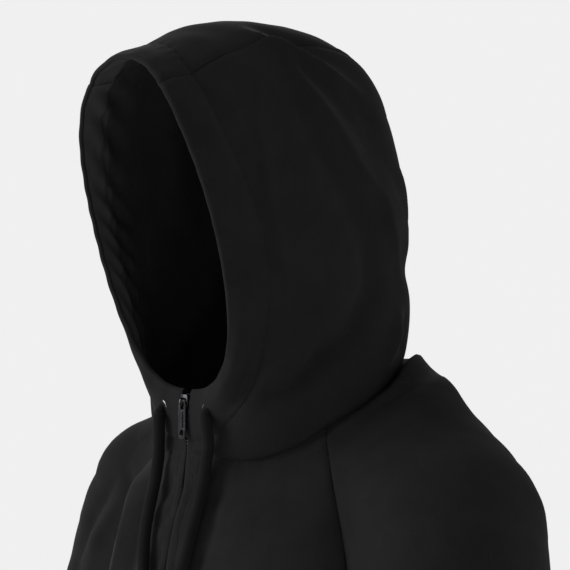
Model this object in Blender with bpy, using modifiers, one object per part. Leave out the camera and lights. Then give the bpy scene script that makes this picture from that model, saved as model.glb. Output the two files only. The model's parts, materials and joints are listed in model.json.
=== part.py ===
"""A zip-up hoodie with raglan sleeves, its hood up, filled out as if worn and hollow inside.

Every size in the tables is in millimetres; meshes are in metres. +Z is up, -Y is the front and +X the
wearer's left. The origin lies in the middle of the neck, level with the neck seam at the side.
"""

import math

import bmesh
import bpy
import numpy as np
from mathutils import Vector

MM = 0.001

# Cloth and seams
WALL = 2.4
CASING_WALL = 5.0
SEAM_HALF_GAP = 0.2
NECK_HALF_GAP = 0.3

# Which border of a panel's grid (first row, last row, first column, last column) lies on the neck seam
NECK_EDGES = {"hood_side_left": (2,), "hood_side_right": (2,), "hood_centre": (1,)}

# Neck seam
NECK_HALF_WIDTH = 100.0
NECK_FRONT = 100.0
NECK_BACK = 112.0
NECK_CENTRE_Y = 5.0
FRONT_RAGLAN_ANGLE = 75.0
BACK_RAGLAN_ANGLE = 140.0
NAPE_ANGLE = 156.0

# Zip
ZIP_ABOVE_NECK = 49.0
ZIP_HALF_GAP = 1.0
SLIDER_HALF_GAP = 5.6
TAPE_WIDTH = 13.0
TAPE_WALL = 0.7

TAPE_EDGE = 1.4
TAPE_GAP = 1.1
TAPE_CURVE = 0.004
TAPE_TOP = 12.0
SLIDER_TOP = 13.0
SLIDER_LOW = 1.0
SLIDER_FRONT = -98.0
SLIDER_BACK = -90.4

# Pull tab: its hinge axis (y, z), its length below the axis and its plate
TAB_AXIS = (-99.6, 5.5)
TAB_LENGTH = 31.0
TAB_HALF_WIDTH = 5.0
TAB_THICK = 1.4

# Rib knit
BAND_TOP = -603.4
BAND_BOTTOM = -668.0
HEM_RIBS = 96
HEM_DRAW = 7.0
CUFF_LENGTH = 64.0
CUFF_RIBS = 25
CUFF_DRAW = 2.5
RIB_HEIGHT = 1.1

# Eyelets: place on the hood side (mm above the neck seam as a base, share of the hoop) and sizes
EYELET_PLACE = (-26, 0.088)
EYELET_HOLE = 10.0
EYELET_WIDTH = 15.0
EYELET_THICK = 1.8

# Drawstring: its width, its knot's tail and its routes from the eyelets to the free ends
CORD_WIDTH = 10.4
KNOT_TAIL = 18.0
CORD_ROUTE_LEFT = (
    (36.5, -103.8, -5),
    (38, -103.4, -13),
    (37.5, -101.4, -23),
    (34.5, -99.4, -35),
    (31.5, -99.5, -50),
    (31, -104.5, -72),
    (32, -113.5, -97),
    (31, -120.5, -122),
    (27, -126.5, -146),
    (27, -132.5, -182),
    (30, -137.5, -224),
    (33, -141, -262),
)
CORD_ROUTE_RIGHT = (
    (-27, -103.8, -5),
    (-27.5, -103.4, -13),
    (-29.5, -101.6, -24),
    (-31.5, -100.3, -38),
    (-32.5, -103, -60),
    (-31, -110, -82),
    (-28, -117.5, -103),
    (-23.5, -123.5, -126),
    (-19, -128, -148),
    (-18, -133.5, -180),
    (-22, -138.5, -224),
    (-25, -143, -270),
)


class Table:
    """Rows under named columns, read at any key as smooth curves through the rows."""

    def __init__(self, columns, *rows):
        self.names = columns.split()
        self.rows = np.array(rows, float)

    def at(self, key):
        key = np.clip(np.asarray(key, float), self.rows[0, 0], self.rows[-1, 0])
        keys = self.rows[:, 0]
        step = np.diff(keys)[:, None]
        slope = np.diff(self.rows, axis=0) / step
        before, after = slope[:-1], slope[1:]
        turning = before * after <= 0
        total = np.where(turning, 1.0, before + after)
        tangent = np.empty_like(self.rows)
        tangent[1:-1] = np.where(turning, 0.0, 2 * before * after / total)
        tangent[0] = slope[0]
        tangent[-1] = slope[-1]
        i = np.clip(np.searchsorted(keys, key, side="right") - 1, 0, len(keys) - 2)
        width = step[i, 0]
        s = ((key - keys[i]) / width)[..., None]
        width = width[..., None]
        value = (
            (2 * s**3 - 3 * s**2 + 1) * self.rows[i]
            + (s**3 - 2 * s**2 + s) * width * tangent[i]
            + (3 * s**2 - 2 * s**3) * self.rows[i + 1]
            + (s**3 - s**2) * width * tangent[i + 1]
        )
        return {name: value[..., k] for k, name in enumerate(self.names)}


# Height of the neck seam at each angle from the front, round the wearer's left side to the nape.
NECK_RING = Table(
    "angle z",
    (0, -34),
    (35, -41),
    (60, -28),
    (75, -14),
    (90, -3),
    (112, 15),
    (135, 31),
    (160, 42),
    (180, 46),
)

# Hoops of the hood. Each starts on the zip edge (base below 0, in mm above the neck seam) or on the
# neck seam (base in degrees), swells to its width and closes over the head at its apex.
HOOD_HOOPS = Table(
    "base apex_y apex_z width widest low_round top_round lean visor",
    (-49, -160, 303, 86, 0.48, 2.25, 2.22, 0, 8),
    (-21, -138, 307, 94, 0.50, 2.0, 2.08, -20, 5),
    (0, -118, 317, 98, 0.51, 1.85, 2.1, -28, 2),
    (25, -88, 328, 101, 0.52, 1.85, 2.0, -30, 0),
    (55, -45, 333, 103, 0.52, 2.0, 1.95, -18, 0),
    (85, 2, 329, 104, 0.50, 2.0, 1.95, -8, 0),
    (110, 50, 315, 102, 0.48, 2.0, 1.95, 2, 3),
    (130, 91, 280, 95, 0.44, 2.0, 2.0, 8, 8),
    (143, 107, 226, 78, 0.40, 2.0, 2.0, 8, 10),
    (153, 109, 150, 54, 0.32, 2.0, 2.1, 2, 4),
    (161, 117, 46, 34, 0.04, 2.0, 2.0, 0, 0),
)

# Half width of the hood's centre strip along its length.
STRIP = Table(
    "base half",
    (-49, 50.5),
    (15, 49.5),
    (33, 48),
    (56, 42),
    (75, 41),
    (110, 42),
    (143, 39),
    (161, 33),
)

# The yoke from the neck seam (0) to the underarm (1): where the front and back raglan seams run, the
# shoulder ridge between them, and how far round the sleeve's section sweeps from ridge to seam.
YOKE = Table(
    "row front_x front_y front_z back_x back_y back_z ridge_x ridge_y ridge_z sweep",
    (0.00, 96.6, -20.9, -14, 64.3, 90.8, 33.7, 93, 44, 17, 45),
    (0.20, 112, -30, -37, 90, 114, 18, 131, 58, 21, 58),
    (0.40, 130, -38, -70, 116, 130, -30, 176, 51, -10, 70),
    (0.60, 143, -42, -104, 136, 134, -80, 224, 46, -41, 86),
    (0.80, 151, -43, -143, 148, 126, -140, 261, 40, -97, 107),
    (0.92, 153, -31, -188, 151, 100, -190, 278, 36, -150, 131),
    (0.97, 151, 0, -219, 150, 70, -220, 283, 35, -171, 156),
    (1.00, 148, 33.5, -232, 148, 36.5, -232, 286, 35, -190, 179),
)

# The sleeve below the underarm: its middle, half breadth from front to back and half width outward.
ARM = Table(
    "row x y z breadth width",
    (1.00, 217, 35, -211, 86, 72),
    (1.20, 241, 36, -290, 78, 67),
    (1.45, 268, 32, -390, 68, 61),
    (1.70, 286, 22, -480, 60, 56),
    (1.90, 294, 4, -548, 56, 54),
    (1.97, 296, -2, -573, 53, 51),
    (2.00, 296, -4, -583, 43, 41),
)

# Centre front and centre back of the body, and its side seam below the underarm.
BODY = Table(
    "row front_y front_z back_y back_z side_x side_y side_z front_sweep back_sweep round",
    (0.00, -95, -34, 117, 46, 0, 0, 0, 75, 40, 2.0),
    (0.20, -99, -68, 129, 18, 0, 0, 0, 73, 48, 2.0),
    (0.40, -107, -90, 141, -25, 0, 0, 0, 73, 58, 2.0),
    (0.60, -114, -114, 150, -75, 0, 0, 0, 75, 68, 2.05),
    (0.80, -120, -147, 154, -135, 0, 0, 0, 79, 78, 2.1),
    (0.92, -125, -184, 154, -185, 0, 0, 0, 84, 85, 2.15),
    (1.00, -130, -230, 152, -230, 148, 35, -232, 90, 90, 2.2),
    (1.20, -133, -300, 149, -300, 165, 30, -300, 90, 90, 2.25),
    (1.50, -132, -400, 145, -400, 170, 20, -400, 90, 90, 2.3),
    (1.80, -127, -510, 140, -510, 169, 14, -510, 90, 90, 2.3),
    (2.00, -119, -603, 132, -603, 164, 10, -603, 90, 90, 2.3),
)

LAST_SWEEP = 179.0

FRONT_COLUMNS = 10
BACK_COLUMNS = 8
SLEEVE_COLUMNS = 16
# Columns of the hood along its zip edge and the neck seam, and rows of the body and the sleeves
HOOD_BASES = (-49, -42, -34, -21, -10, 0, 8, 16, 25, 35, 45, 55, 65, 75, 85, 95, 105, 115, 124, 132, 140, 146, 152, 156)
YOKE_ROWS = (0, 0.05, 0.12, 0.2, 0.3, 0.4, 0.5, 0.6, 0.7, 0.8, 0.87, 0.92, 0.96, 0.985, 1)
BODY_ROWS = YOKE_ROWS + (1.1, 1.2, 1.32, 1.45, 1.6, 1.75, 1.9, 2)
SLEEVE_ROWS = YOKE_ROWS + (1.08, 1.2, 1.32, 1.45, 1.58, 1.7, 1.8, 1.9, 2)
HOOD_ROWS = 13
NAPE_ROWS = 4
STRIP_COLUMNS = 6


def smooth_step(x):
    x = np.clip(x, 0, 1)
    return x * x * (3 - 2 * x)


def power(x, exponent):
    return np.clip(x, 0, None) ** exponent


def evenly(curves, fractions):
    """Points at the given fractions of each curve's length; curves is (n, dense, 3)."""
    run = np.linalg.norm(np.diff(curves, axis=1), axis=2)
    run = np.concatenate([np.zeros((len(curves), 1)), np.cumsum(run, axis=1)], axis=1)
    out = np.empty((len(curves), fractions.shape[1], 3))
    for i, curve in enumerate(curves):
        wanted = fractions[i] * run[i, -1]
        for k in range(3):
            out[i, :, k] = np.interp(wanted, run[i], curve[:, k])
    return out


def neck_point(angle):
    turn = np.radians(angle)
    angle = np.abs(angle)
    depth = np.where(angle < 90, NECK_FRONT, NECK_BACK)
    x = NECK_HALF_WIDTH * np.sin(turn)
    y = NECK_CENTRE_Y - depth * np.cos(turn)
    return np.stack([x, y, NECK_RING.at(angle)["z"]], axis=-1)


def zip_gap(z):
    """Half the gap between the two cloth edges: it opens round the slider at the top."""
    return ZIP_HALF_GAP + (SLIDER_HALF_GAP - ZIP_HALF_GAP) * smooth_step((z + 10) / 14)


def hood_base(base):
    front = neck_point(np.zeros_like(base))
    up = np.clip(-base, 0, None)
    zipped = front.copy()
    zipped[:, 2] = front[:, 2] + up
    zipped[:, 0] = zip_gap(zipped[:, 2])
    ring = neck_point(np.clip(base, 0, 180))
    near_zip = np.clip(1 - base / 5, 0, 1)
    ring[:, 0] = ring[:, 0] + ZIP_HALF_GAP * near_zip
    return np.where((base < 0)[:, None], zipped, ring)


def hood_hoops(base):
    """Dense hoops from the base to the apex, and the fraction where each crosses the crown seam."""
    base = np.asarray(base, float)
    row = {name: value[:, None] for name, value in HOOD_HOOPS.at(base).items()}
    start = hood_base(base)
    turn = np.linspace(0, np.pi, 241)[None, :]
    low = turn < np.pi / 2
    side = np.abs(np.sin(turn))
    rise = np.abs(np.cos(turn))
    start_x = start[:, :1]
    x_low = start_x + (row["width"] - start_x) * power(side, 2 / row["low_round"])
    x_top = row["width"] * power(side, 2 / row["top_round"])
    q_low = row["widest"] * (1 - power(rise, 2 / row["low_round"]))
    q_top = row["widest"] + (1 - row["widest"]) * power(rise, 2 / row["top_round"])
    x = np.where(low, x_low, x_top)
    q = np.where(low, q_low, q_top)
    run_y = row["apex_y"] - start[:, 1:2]
    run_z = row["apex_z"] - start[:, 2:3]
    length = np.hypot(run_y, run_z)
    ahead = row["lean"] * 4 * q * (1 - q) + row["visor"] * 12.2 * q**4 * (1 - q)
    y = start[:, 1:2] + q * run_y - ahead * run_z / length
    z = start[:, 2:3] + q * run_z + ahead * run_y / length
    hoops = np.stack([x, y, z], axis=-1)
    half = STRIP.at(base)["half"]
    seam = np.empty(len(base))
    for i, hoop in enumerate(hoops):
        run = np.concatenate([[0], np.cumsum(np.linalg.norm(np.diff(hoop, axis=0), axis=1))])
        top = np.argmax(hoop[:, 0])
        seam[i] = np.interp(-half[i], -hoop[top:, 0], run[top:]) / run[-1]
    return hoops, seam


def hood_side_grid(bases, rows):
    hoops, seam = hood_hoops(bases)
    fractions = seam[:, None] * np.asarray(rows)[None, :]
    return evenly(hoops, fractions)


def hood_strip_grid(bases, columns):
    """The centre strip from its left seam over the middle to its right seam, then down to the neck seam."""
    hoops, seam = hood_hoops(bases)
    half = np.linspace(0, 1, columns // 2 + 1)[None, :]
    left = evenly(hoops, seam[:, None] + (1 - seam[:, None]) * half)
    left[:, -1, 0] = 0
    at_nape = neck_point(np.linspace(NAPE_ANGLE, 180, columns // 2 + 1))
    down_side = hood_side_grid(bases[-1:], np.linspace(1, 0, NAPE_ROWS + 1))[0]
    rows = [left]
    for k in range(1, NAPE_ROWS + 1):
        t = k / NAPE_ROWS
        row = (1 - t) * left[-1] + t * at_nape
        sway = down_side[k] - row[0]
        rows.append((row + sway * (1 - half[0][:, None]))[None])
    left = np.concatenate(rows)
    right = left[:, -2::-1] * np.array([-1, 1, 1])
    return np.concatenate([left, right], axis=1)


def sleeve_sections(rows):
    """Middle, breadth vector, outward vector and sweep of the sleeve's section at each row."""
    rows = np.asarray(rows, float)
    yoke = YOKE.at(np.clip(rows, 0, 1))
    front = np.stack([yoke["front_x"], yoke["front_y"], yoke["front_z"]], axis=-1)
    back = np.stack([yoke["back_x"], yoke["back_y"], yoke["back_z"]], axis=-1)
    ridge = np.stack([yoke["ridge_x"], yoke["ridge_y"], yoke["ridge_z"]], axis=-1)
    sweep = np.radians(yoke["sweep"])[:, None]
    chord = (front + back) / 2
    breadth = (back - front) / 2 / np.sin(sweep)
    outward = (ridge - chord) / (1 - np.cos(sweep))
    middle = chord - outward * np.cos(sweep)

    arm = ARM.at(rows)
    nudge = 0.02
    inside = np.clip(rows, 1 + nudge, 2 - nudge)
    after, before = ARM.at(inside + nudge), ARM.at(inside - nudge)
    arm_middle = np.stack([arm["x"], arm["y"], arm["z"]], axis=-1)
    axis = np.stack([after[k] - before[k] for k in "xyz"], axis=-1)
    axis /= np.linalg.norm(axis, axis=1)[:, None]
    forward = np.array([0.0, 1.0, 0.0])
    out_way = np.cross(forward, -axis)
    out_way /= np.linalg.norm(out_way, axis=1)[:, None]
    back_way = np.cross(out_way, axis)
    back_way *= np.sign(back_way[:, 1:2])
    below = (rows > 1)[:, None]
    middle = np.where(below, arm_middle, middle)
    breadth = np.where(below, arm["breadth"][:, None] * back_way, breadth)
    outward = np.where(below, arm["width"][:, None] * out_way, outward)
    return middle, breadth, outward, sweep


def sleeve_grid(rows, columns):
    middle, breadth, outward, sweep = sleeve_sections(rows)
    turn = sweep * np.pi / np.radians(LAST_SWEEP) * np.linspace(-1, 1, columns + 1)[None, :]
    grid = (
        middle[:, None, :]
        + breadth[:, None, :] * np.sin(turn)[..., None]
        + outward[:, None, :] * np.cos(turn)[..., None]
    )
    angles = np.linspace(FRONT_RAGLAN_ANGLE, BACK_RAGLAN_ANGLE, columns + 1)
    at_neck = neck_point(angles)
    fade = 1 - smooth_step(np.asarray(rows) / 0.35)
    return grid + fade[:, None, None] * (at_neck - grid[0])[None]


def panel_grid(rows, columns, centre_y, centre_z, seam, sweep, roundness, angles, neck_row):
    """Rows of a front or back half from its centre line (first column) to its seam (last column)."""
    dense = np.linspace(0, 1, 81)
    turn = np.radians(sweep)[:, None] * dense[None, :]
    last = turn[:, -1:]
    n = (2 / roundness)[:, None]
    across = power(np.sin(turn), n) / power(np.sin(last), n)
    round_off = (1 - power(np.cos(turn), n)) / (1 - power(np.cos(last), n))
    x = seam[:, :1] * across
    y = centre_y[:, None] + (seam[:, 1:2] - centre_y[:, None]) * round_off
    z = centre_z[:, None] + (seam[:, 2:3] - centre_z[:, None]) * dense[None, :] ** 2
    curves = np.stack([x, y, z], axis=-1)
    grid = evenly(curves, np.repeat(np.linspace(0, 1, columns + 1)[None, :], len(rows), axis=0))
    at_neck = neck_point(angles)
    fade = 1 - smooth_step(np.asarray(rows) / 0.5)
    grid = grid + fade[:, None, None] * (at_neck - grid[neck_row])[None]
    return grid


def front_grid(rows, columns):
    rows = np.asarray(rows, float)
    body = BODY.at(rows)
    seam = front_seam(rows, body, 0)
    angles = np.linspace(0, FRONT_RAGLAN_ANGLE, columns + 1)
    grid = panel_grid(
        rows, columns, body["front_y"], body["front_z"], seam, body["front_sweep"], body["round"], angles, 0
    )
    x = grid[..., 0]
    gap = zip_gap(grid[:, :1, 2])
    grid[..., 0] = x + gap * np.clip(1 - x / 40, 0, 1)
    return grid


def back_half_grid(rows, columns):
    rows = np.asarray(rows, float)
    body = BODY.at(rows)
    seam = front_seam(rows, body, -1)
    angles = np.linspace(180, BACK_RAGLAN_ANGLE, columns + 1)
    return panel_grid(
        rows, columns, body["back_y"], body["back_z"], seam, body["back_sweep"], body["round"], angles, 0
    )


def front_seam(rows, body, side):
    """The raglan seam down to the underarm, then the side seam."""
    raglan = sleeve_grid(np.clip(rows, 0, 1), SLEEVE_COLUMNS)[:, side]
    side_seam = np.stack([body["side_x"], body["side_y"], body["side_z"]], axis=-1)
    at_underarm = sleeve_grid([1.0], SLEEVE_COLUMNS)[0, side]
    side_seam = side_seam + (1 - smooth_step((rows - 1) / 0.3))[:, None] * (
        at_underarm - np.array([BODY.at(1.0)["side_x"], BODY.at(1.0)["side_y"], BODY.at(1.0)["side_z"]])
    )
    return np.where((rows <= 1)[:, None], raglan, side_seam)


def back_grid(rows, columns):
    left = back_half_grid(rows, columns)
    right = left[:, 1:] * np.array([-1, 1, 1])
    return np.concatenate([left[:, ::-1], right], axis=1)


# Soft folds and swells: a bell across the path through three points, as high (+) or deep (-) and as
# wide as named, faded out at both ends. The left side is the wearer's left.
FOLD_COLUMNS = "name height width x1 y1 z1 x2 y2 z2 x3 y3 z3".split()
HOOD_FOLDS_LEFT = (
    ("ridge over the crown", 5.0, 9, 18, -44, 331, 46, -6, 311, 66, 42, 279),
    ("long side ridge", 3.0, 12, 60, -32, 298, 99, 14, 205, 96, 64, 112),
    ("swell at the back", 4.5, 26, 92, 66, 205, 93, 70, 180, 90, 74, 158),
    ("swell behind the crown", 6.0, 28, 36, 42, 312, 60, 52, 285, 76, 58, 250),
    ("pinch above the nape", -5.5, 20, 100, 50, 128, 90, 76, 118, 60, 96, 116),
    ("dip behind the casing", -3.0, 16, 30, -112, 312, 60, -105, 295, 80, -95, 260),
    ("cheek trough", -5.0, 22, 100, 55, 120, 104, 10, 60, 95, -45, 20),
    ("nape trough", -4.0, 14, 90, 80, 150, 80, 92, 120, 75, 95, 95),
)
HOOD_FOLDS_RIGHT = (
    ("ridge over the crown", 4.0, 9, -14, -30, 332, -44, 4, 312, -62, 44, 277),
    ("long side ridge", 3.0, 12, -52, -28, 308, -98, 10, 210, -96, 62, 118),
    ("swell at the back", 4.0, 26, -92, 66, 205, -93, 70, 180, -90, 74, 158),
    ("swell behind the crown", 5.0, 28, -36, 42, 312, -60, 52, 285, -76, 58, 250),
    ("pinch above the nape", -4.5, 20, -100, 50, 128, -90, 76, 118, -60, 96, 116),
    ("dip behind the casing", -3.0, 16, -30, -114, 312, -62, -104, 292, -82, -94, 250),
    ("cheek trough", -5.0, 20, -102, 40, 105, -104, 0, 55, -92, -50, 15),
    ("nape trough", -3.5, 15, -88, 84, 160, -82, 92, 125, -72, 98, 90),
)
BODY_FOLDS_LEFT = (
    ("roll round the neck", 19.0, 14, 108, 54, 17, 88, 90, 27, 46, 123, 38),
    ("front of the shoulder", 8.0, 40, 150, -30, -28, 192, -32, -62, 222, -18, -110),
    ("back of the shoulder", 11.0, 28, 212, 100, -62, 236, 94, -98, 246, 88, -132),
    ("underarm drag", -5.0, 13, 172, -25, -205, 200, -40, -190, 232, -38, -160),
    ("elbow fold", -5.0, 14, 235, 10, -420, 268, -22, -415, 300, 10, -400),
    ("waist fold", 4.0, 22, 60, -128, -520, 120, -110, -545, 160, -30, -560),
)
BODY_FOLDS_RIGHT = (
    ("roll round the neck", 19.0, 14, -108, 54, 17, -88, 90, 27, -46, 123, 38),
    ("top of the shoulder in front", 13.0, 34, -150, -4, -22, -184, -10, -42, -212, -24, -74),
    ("front of the shoulder", 8.0, 40, -165, -30, -40, -200, -32, -75, -222, -18, -120),
    ("back of the shoulder", 10.0, 28, -212, 100, -62, -236, 94, -98, -246, 88, -132),
    ("chest ridge", 7.0, 12, -128, -50, -62, -92, -88, -104, -102, -98, -186),
    ("valley by the zip", -4.0, 11, -84, -68, -60, -56, -106, -110, -60, -118, -180),
    ("underarm drag", -5.0, 14, -170, -30, -200, -196, -42, -185, -228, -40, -150),
    ("elbow fold", -4.5, 15, -232, 12, -430, -266, -20, -420, -298, 12, -410),
    ("waist fold", 4.0, 24, -50, -130, -535, -118, -112, -550, -160, -30, -572),
)


def fold_relief(points, folds):
    """Height of the folds at each point."""
    height = np.zeros(points.shape[:-1])
    for fold in folds:
        row = dict(zip(FOLD_COLUMNS, fold))
        ends = np.array([[row[axis + str(k)] for axis in "xyz"] for k in (1, 2, 3)], float)
        t = np.linspace(0, 1, 25)[:, None]
        bend = 2 * ends[1] - (ends[0] + ends[2]) / 2
        path = (1 - t) ** 2 * ends[0] + 2 * t * (1 - t) * bend + t**2 * ends[2]
        gap = np.linalg.norm(points[..., None, :] - path, axis=-1)
        nearest = gap.argmin(axis=-1)
        along = t[nearest, 0]
        fade = np.sin(np.pi * np.clip(0.08 + 0.84 * along, 0, 1)) ** 0.6
        height += row["height"] * np.exp(-((gap.min(axis=-1) / row["width"]) ** 2)) * fade
    return height


def mirrored(grid):
    return grid * np.array([-1, 1, 1])


def unit(vectors):
    return vectors / np.maximum(np.linalg.norm(vectors, axis=-1, keepdims=True), 1e-9)


def grid_normals(grids):
    """Outward normals at every grid point, shared where panels meet along a seam."""
    normals = {}
    borders = []
    for name, (grid, side) in grids.items():
        normals[name] = unit(side * np.cross(np.gradient(grid, axis=0), np.gradient(grid, axis=1)))
        rows, columns = grid.shape[:2]
        for i in range(rows):
            for j in range(columns):
                if i in (0, rows - 1) or j in (0, columns - 1):
                    borders.append((name, i, j))
    points = np.array([grids[name][0][i, j] for name, i, j in borders])
    values = np.array([normals[name][i, j] for name, i, j in borders])
    touching = np.linalg.norm(points[:, None] - points[None], axis=-1) < 0.05
    touching &= values @ values.T > 0
    for (name, i, j), shared in zip(borders, touching.astype(float) @ values):
        normals[name][i, j] = unit(shared)
    return normals


def neck_fade(points):
    """0 on the neck seam, rising to 1 a short way from it, so that folds leave the seam alone."""
    ring = neck_point(np.linspace(-180, 180, 145))
    gap = np.linalg.norm(points[..., None, :] - ring, axis=-1).min(axis=-1)
    return smooth_step((gap - 1) / 16)


def folded(grids, folds):
    """The grids with their folds raised along the shared normals."""
    normals = grid_normals(grids)
    out = {}
    for name, (grid, side) in grids.items():
        height = fold_relief(grid, folds) * neck_fade(grid)
        out[name] = (grid + height[..., None] * normals[name], side)
    return out


def body_grids():
    front = front_grid(BODY_ROWS, FRONT_COLUMNS)
    sleeve = sleeve_grid(SLEEVE_ROWS, SLEEVE_COLUMNS)
    flat = {
        "front_left": (front, 1),
        "front_right": (mirrored(front), -1),
        "back": (back_grid(BODY_ROWS, BACK_COLUMNS), 1),
        "sleeve_left": (sleeve, 1),
        "sleeve_right": (mirrored(sleeve), -1),
    }
    return folded(flat, BODY_FOLDS_LEFT + BODY_FOLDS_RIGHT)


def hood_grids():
    side = hood_side_grid(HOOD_BASES, np.linspace(0, 1, HOOD_ROWS))
    flat = {
        "hood_side_left": (side, 1),
        "hood_side_right": (mirrored(side), -1),
        "hood_centre": (hood_strip_grid(HOOD_BASES, STRIP_COLUMNS), 1),
    }
    return folded(flat, HOOD_FOLDS_LEFT + HOOD_FOLDS_RIGHT)


def square_off(edge, inner):
    """Unit steps from an edge towards the next line of points, square to the edge."""
    way = inner - edge
    run = unit(np.gradient(edge, axis=0))
    return unit(way - (way * run).sum(axis=-1, keepdims=True) * run)


def pulled_in(points, reference, gaps):
    """Border points moved by the seam gaps (first row, last row, first column, last column)."""
    out = points.copy()
    out[0] += gaps[0] * square_off(reference[0], reference[1])
    out[-1] += gaps[1] * square_off(reference[-1], reference[-2])
    out[:, 0] += gaps[2] * square_off(reference[:, 0], reference[:, 1])
    out[:, -1] += gaps[3] * square_off(reference[:, -1], reference[:, -2])
    return out


def object_from(name, mesh, collection, material):
    """The object of a finished bmesh whose points are in millimetres."""
    bmesh.ops.scale(mesh, vec=(MM, MM, MM), verts=mesh.verts)
    data = bpy.data.meshes.new(name)
    mesh.to_mesh(data)
    mesh.free()
    return placed(name, data, collection, material)


def placed(name, data, collection, material):
    item = bpy.data.objects.new(name, data)
    data.materials.append(material)
    collection.objects.link(item)
    return item


def shade(item, angle=50):
    item.data.shade_smooth()
    item.data.set_sharp_from_angle(angle=math.radians(angle))


def add_wall(name, outer, inner, side, collection, material, wrap=False):
    """A closed wall between two grids of points; wrap joins its last column to its first."""
    rows, columns = outer.shape[:2]
    mesh = bmesh.new()
    top, under = (
        [[mesh.verts.new(grid[i, j]) for j in range(columns)] for i in range(rows)] for grid in (outer, inner)
    )
    around = [(j, (j + 1) % columns) for j in range(columns if wrap else columns - 1)]
    faces = []
    for i in range(rows - 1):
        for j, k in around:
            falling = np.linalg.norm(outer[i, j] - outer[i + 1, k])
            rising = np.linalg.norm(outer[i + 1, j] - outer[i, k])
            for layer, way in ((top, side), (under, -side)):
                a, b, c, d = layer[i][j], layer[i + 1][j], layer[i + 1][k], layer[i][k]
                halves = ((a, b, c), (a, c, d)) if falling < rising else ((a, b, d), (b, c, d))
                faces += [(half, way) for half in halves]
    for i, way in ((0, side), (rows - 1, -side)):
        for j, k in around:
            faces.append(((under[i][j], top[i][j], top[i][k], under[i][k]), way))
    for j, way in ((0, -side), (columns - 1, side)):
        for i in range(0 if wrap else rows - 1):
            faces.append(((under[i][j], top[i][j], top[i + 1][j], under[i + 1][j]), way))
    for corners, way in faces:
        mesh.faces.new(corners if way > 0 else corners[::-1])
    shade(object_from(name, mesh, collection, material))


def casing_wall(bases):
    """Wall thickness along the hood: doubled in the turned casing round the face opening."""
    inside = smooth_step((np.asarray(bases, float) + 24) / 6)
    return (CASING_WALL + (WALL - CASING_WALL) * inside)[:, None, None]


def add_panels(grids, walls, collection, material):
    normals = grid_normals(grids)
    for name, (grid, side) in grids.items():
        gaps = [SEAM_HALF_GAP] * 4
        for edge in NECK_EDGES.get(name, (0,)):
            gaps[edge] = NECK_HALF_GAP
        inner = pulled_in(grid - walls[name] * normals[name], grid, gaps)
        add_wall(name, pulled_in(grid, grid, gaps), inner, side, collection, material)


def hem_ring(body):
    """The lower edge of the body from the zip round the wearer's left and the back to the zip."""
    left, back, right = (body[name][0][-1] for name in ("front_left", "back", "front_right"))
    return np.concatenate([left, back[1:-1], right[::-1]])


def add_hem_band(body, collection, material):
    count = 2 * HEM_RIBS
    ring = evenly(hem_ring(body)[None], np.linspace(0, 1, count + 1)[None])[0]
    outward = unit(np.cross(np.array([0.0, 0.0, -1.0]), np.gradient(ring, axis=0)))
    rib = np.where(np.arange(count + 1) % 2, RIB_HEIGHT, 0.0)[:, None]
    outer = []
    inner = []
    for t in (0.0, 0.5, 1.0):
        middle = ring - outward * (1.5 + HEM_DRAW * t**1.5)
        middle[:, 2] = BAND_TOP + (BAND_BOTTOM - BAND_TOP) * t
        outer.append(middle + outward * rib)
        inner.append(middle - outward * WALL)
    add_wall("hem_band", np.array(outer), np.array(inner), 1, collection, material)


def cuff_frame():
    """Middle, breadth, outward and axis at the end of the left sleeve."""
    middle, breadth, outward, _ = sleeve_sections([1.98, 2.0])
    return middle[1], breadth[1], outward[1], unit(middle[1] - middle[0])


def add_cuff(name, side, collection, material):
    middle, breadth, outward, axis = cuff_frame()
    count = 2 * CUFF_RIBS
    turn = np.linspace(0, 2 * np.pi, count, endpoint=False)[:, None]
    round_way = breadth * np.sin(turn) + outward * np.cos(turn)
    radius = np.linalg.norm(round_way, axis=1)[:, None]
    outer = []
    inner = []
    for t in (0.0, 0.5, 1.0):
        centre = middle + axis * (2 * SEAM_HALF_GAP + CUFF_LENGTH * t)
        reach = radius - 1.5 - CUFF_DRAW * t
        rib = np.where(np.arange(count) % 2, RIB_HEIGHT, 0.0)[:, None]
        outer.append(centre + unit(round_way) * (reach + rib))
        inner.append(centre + unit(round_way) * (reach - WALL))
    grids = [np.array(grid) for grid in (outer, inner)]
    if side < 0:
        grids = [mirrored(grid) for grid in grids]
    add_wall(name, grids[0], grids[1], side, collection, material, wrap=True)


def zip_front(body, z):
    """Depth of the cloth's outer face at the zip edge at each height."""
    edge = body["front_left"][0][:, 0]
    on_body = np.interp(-z, -edge[:, 2], edge[:, 1])
    on_band = edge[-1, 1] + 1.5 + HEM_DRAW * power((BAND_TOP - z) / (BAND_TOP - BAND_BOTTOM), 1.5)
    return np.where(z > edge[0, 2], edge[0, 1], np.where(z < BAND_TOP, on_band, on_body))


def add_zip_tape(name, side, body, collection, material):
    edge = body["front_left"][0][:, 0]
    band = (BAND_TOP - 0.1, (BAND_TOP + BAND_BOTTOM) / 2, BAND_BOTTOM + 0.5)
    z = np.concatenate([np.linspace(TAPE_TOP, edge[0, 2] + 8, 5), edge[:-1, 2], band])
    across = np.linspace(TAPE_EDGE, TAPE_WIDTH, 3)
    wall = WALL + (CASING_WALL - WALL) * smooth_step((z + 26) / 10)
    depth = zip_front(body, z) + wall + TAPE_GAP
    grid = np.zeros((len(z), len(across), 3))
    grid[..., 0] = across * side
    grid[..., 1] = depth[:, None] + TAPE_CURVE * across**2
    grid[..., 2] = z[:, None]
    inner = grid + np.array([0, TAPE_WALL, 0])
    add_wall(name, grid, inner, side, collection, material)


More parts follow.
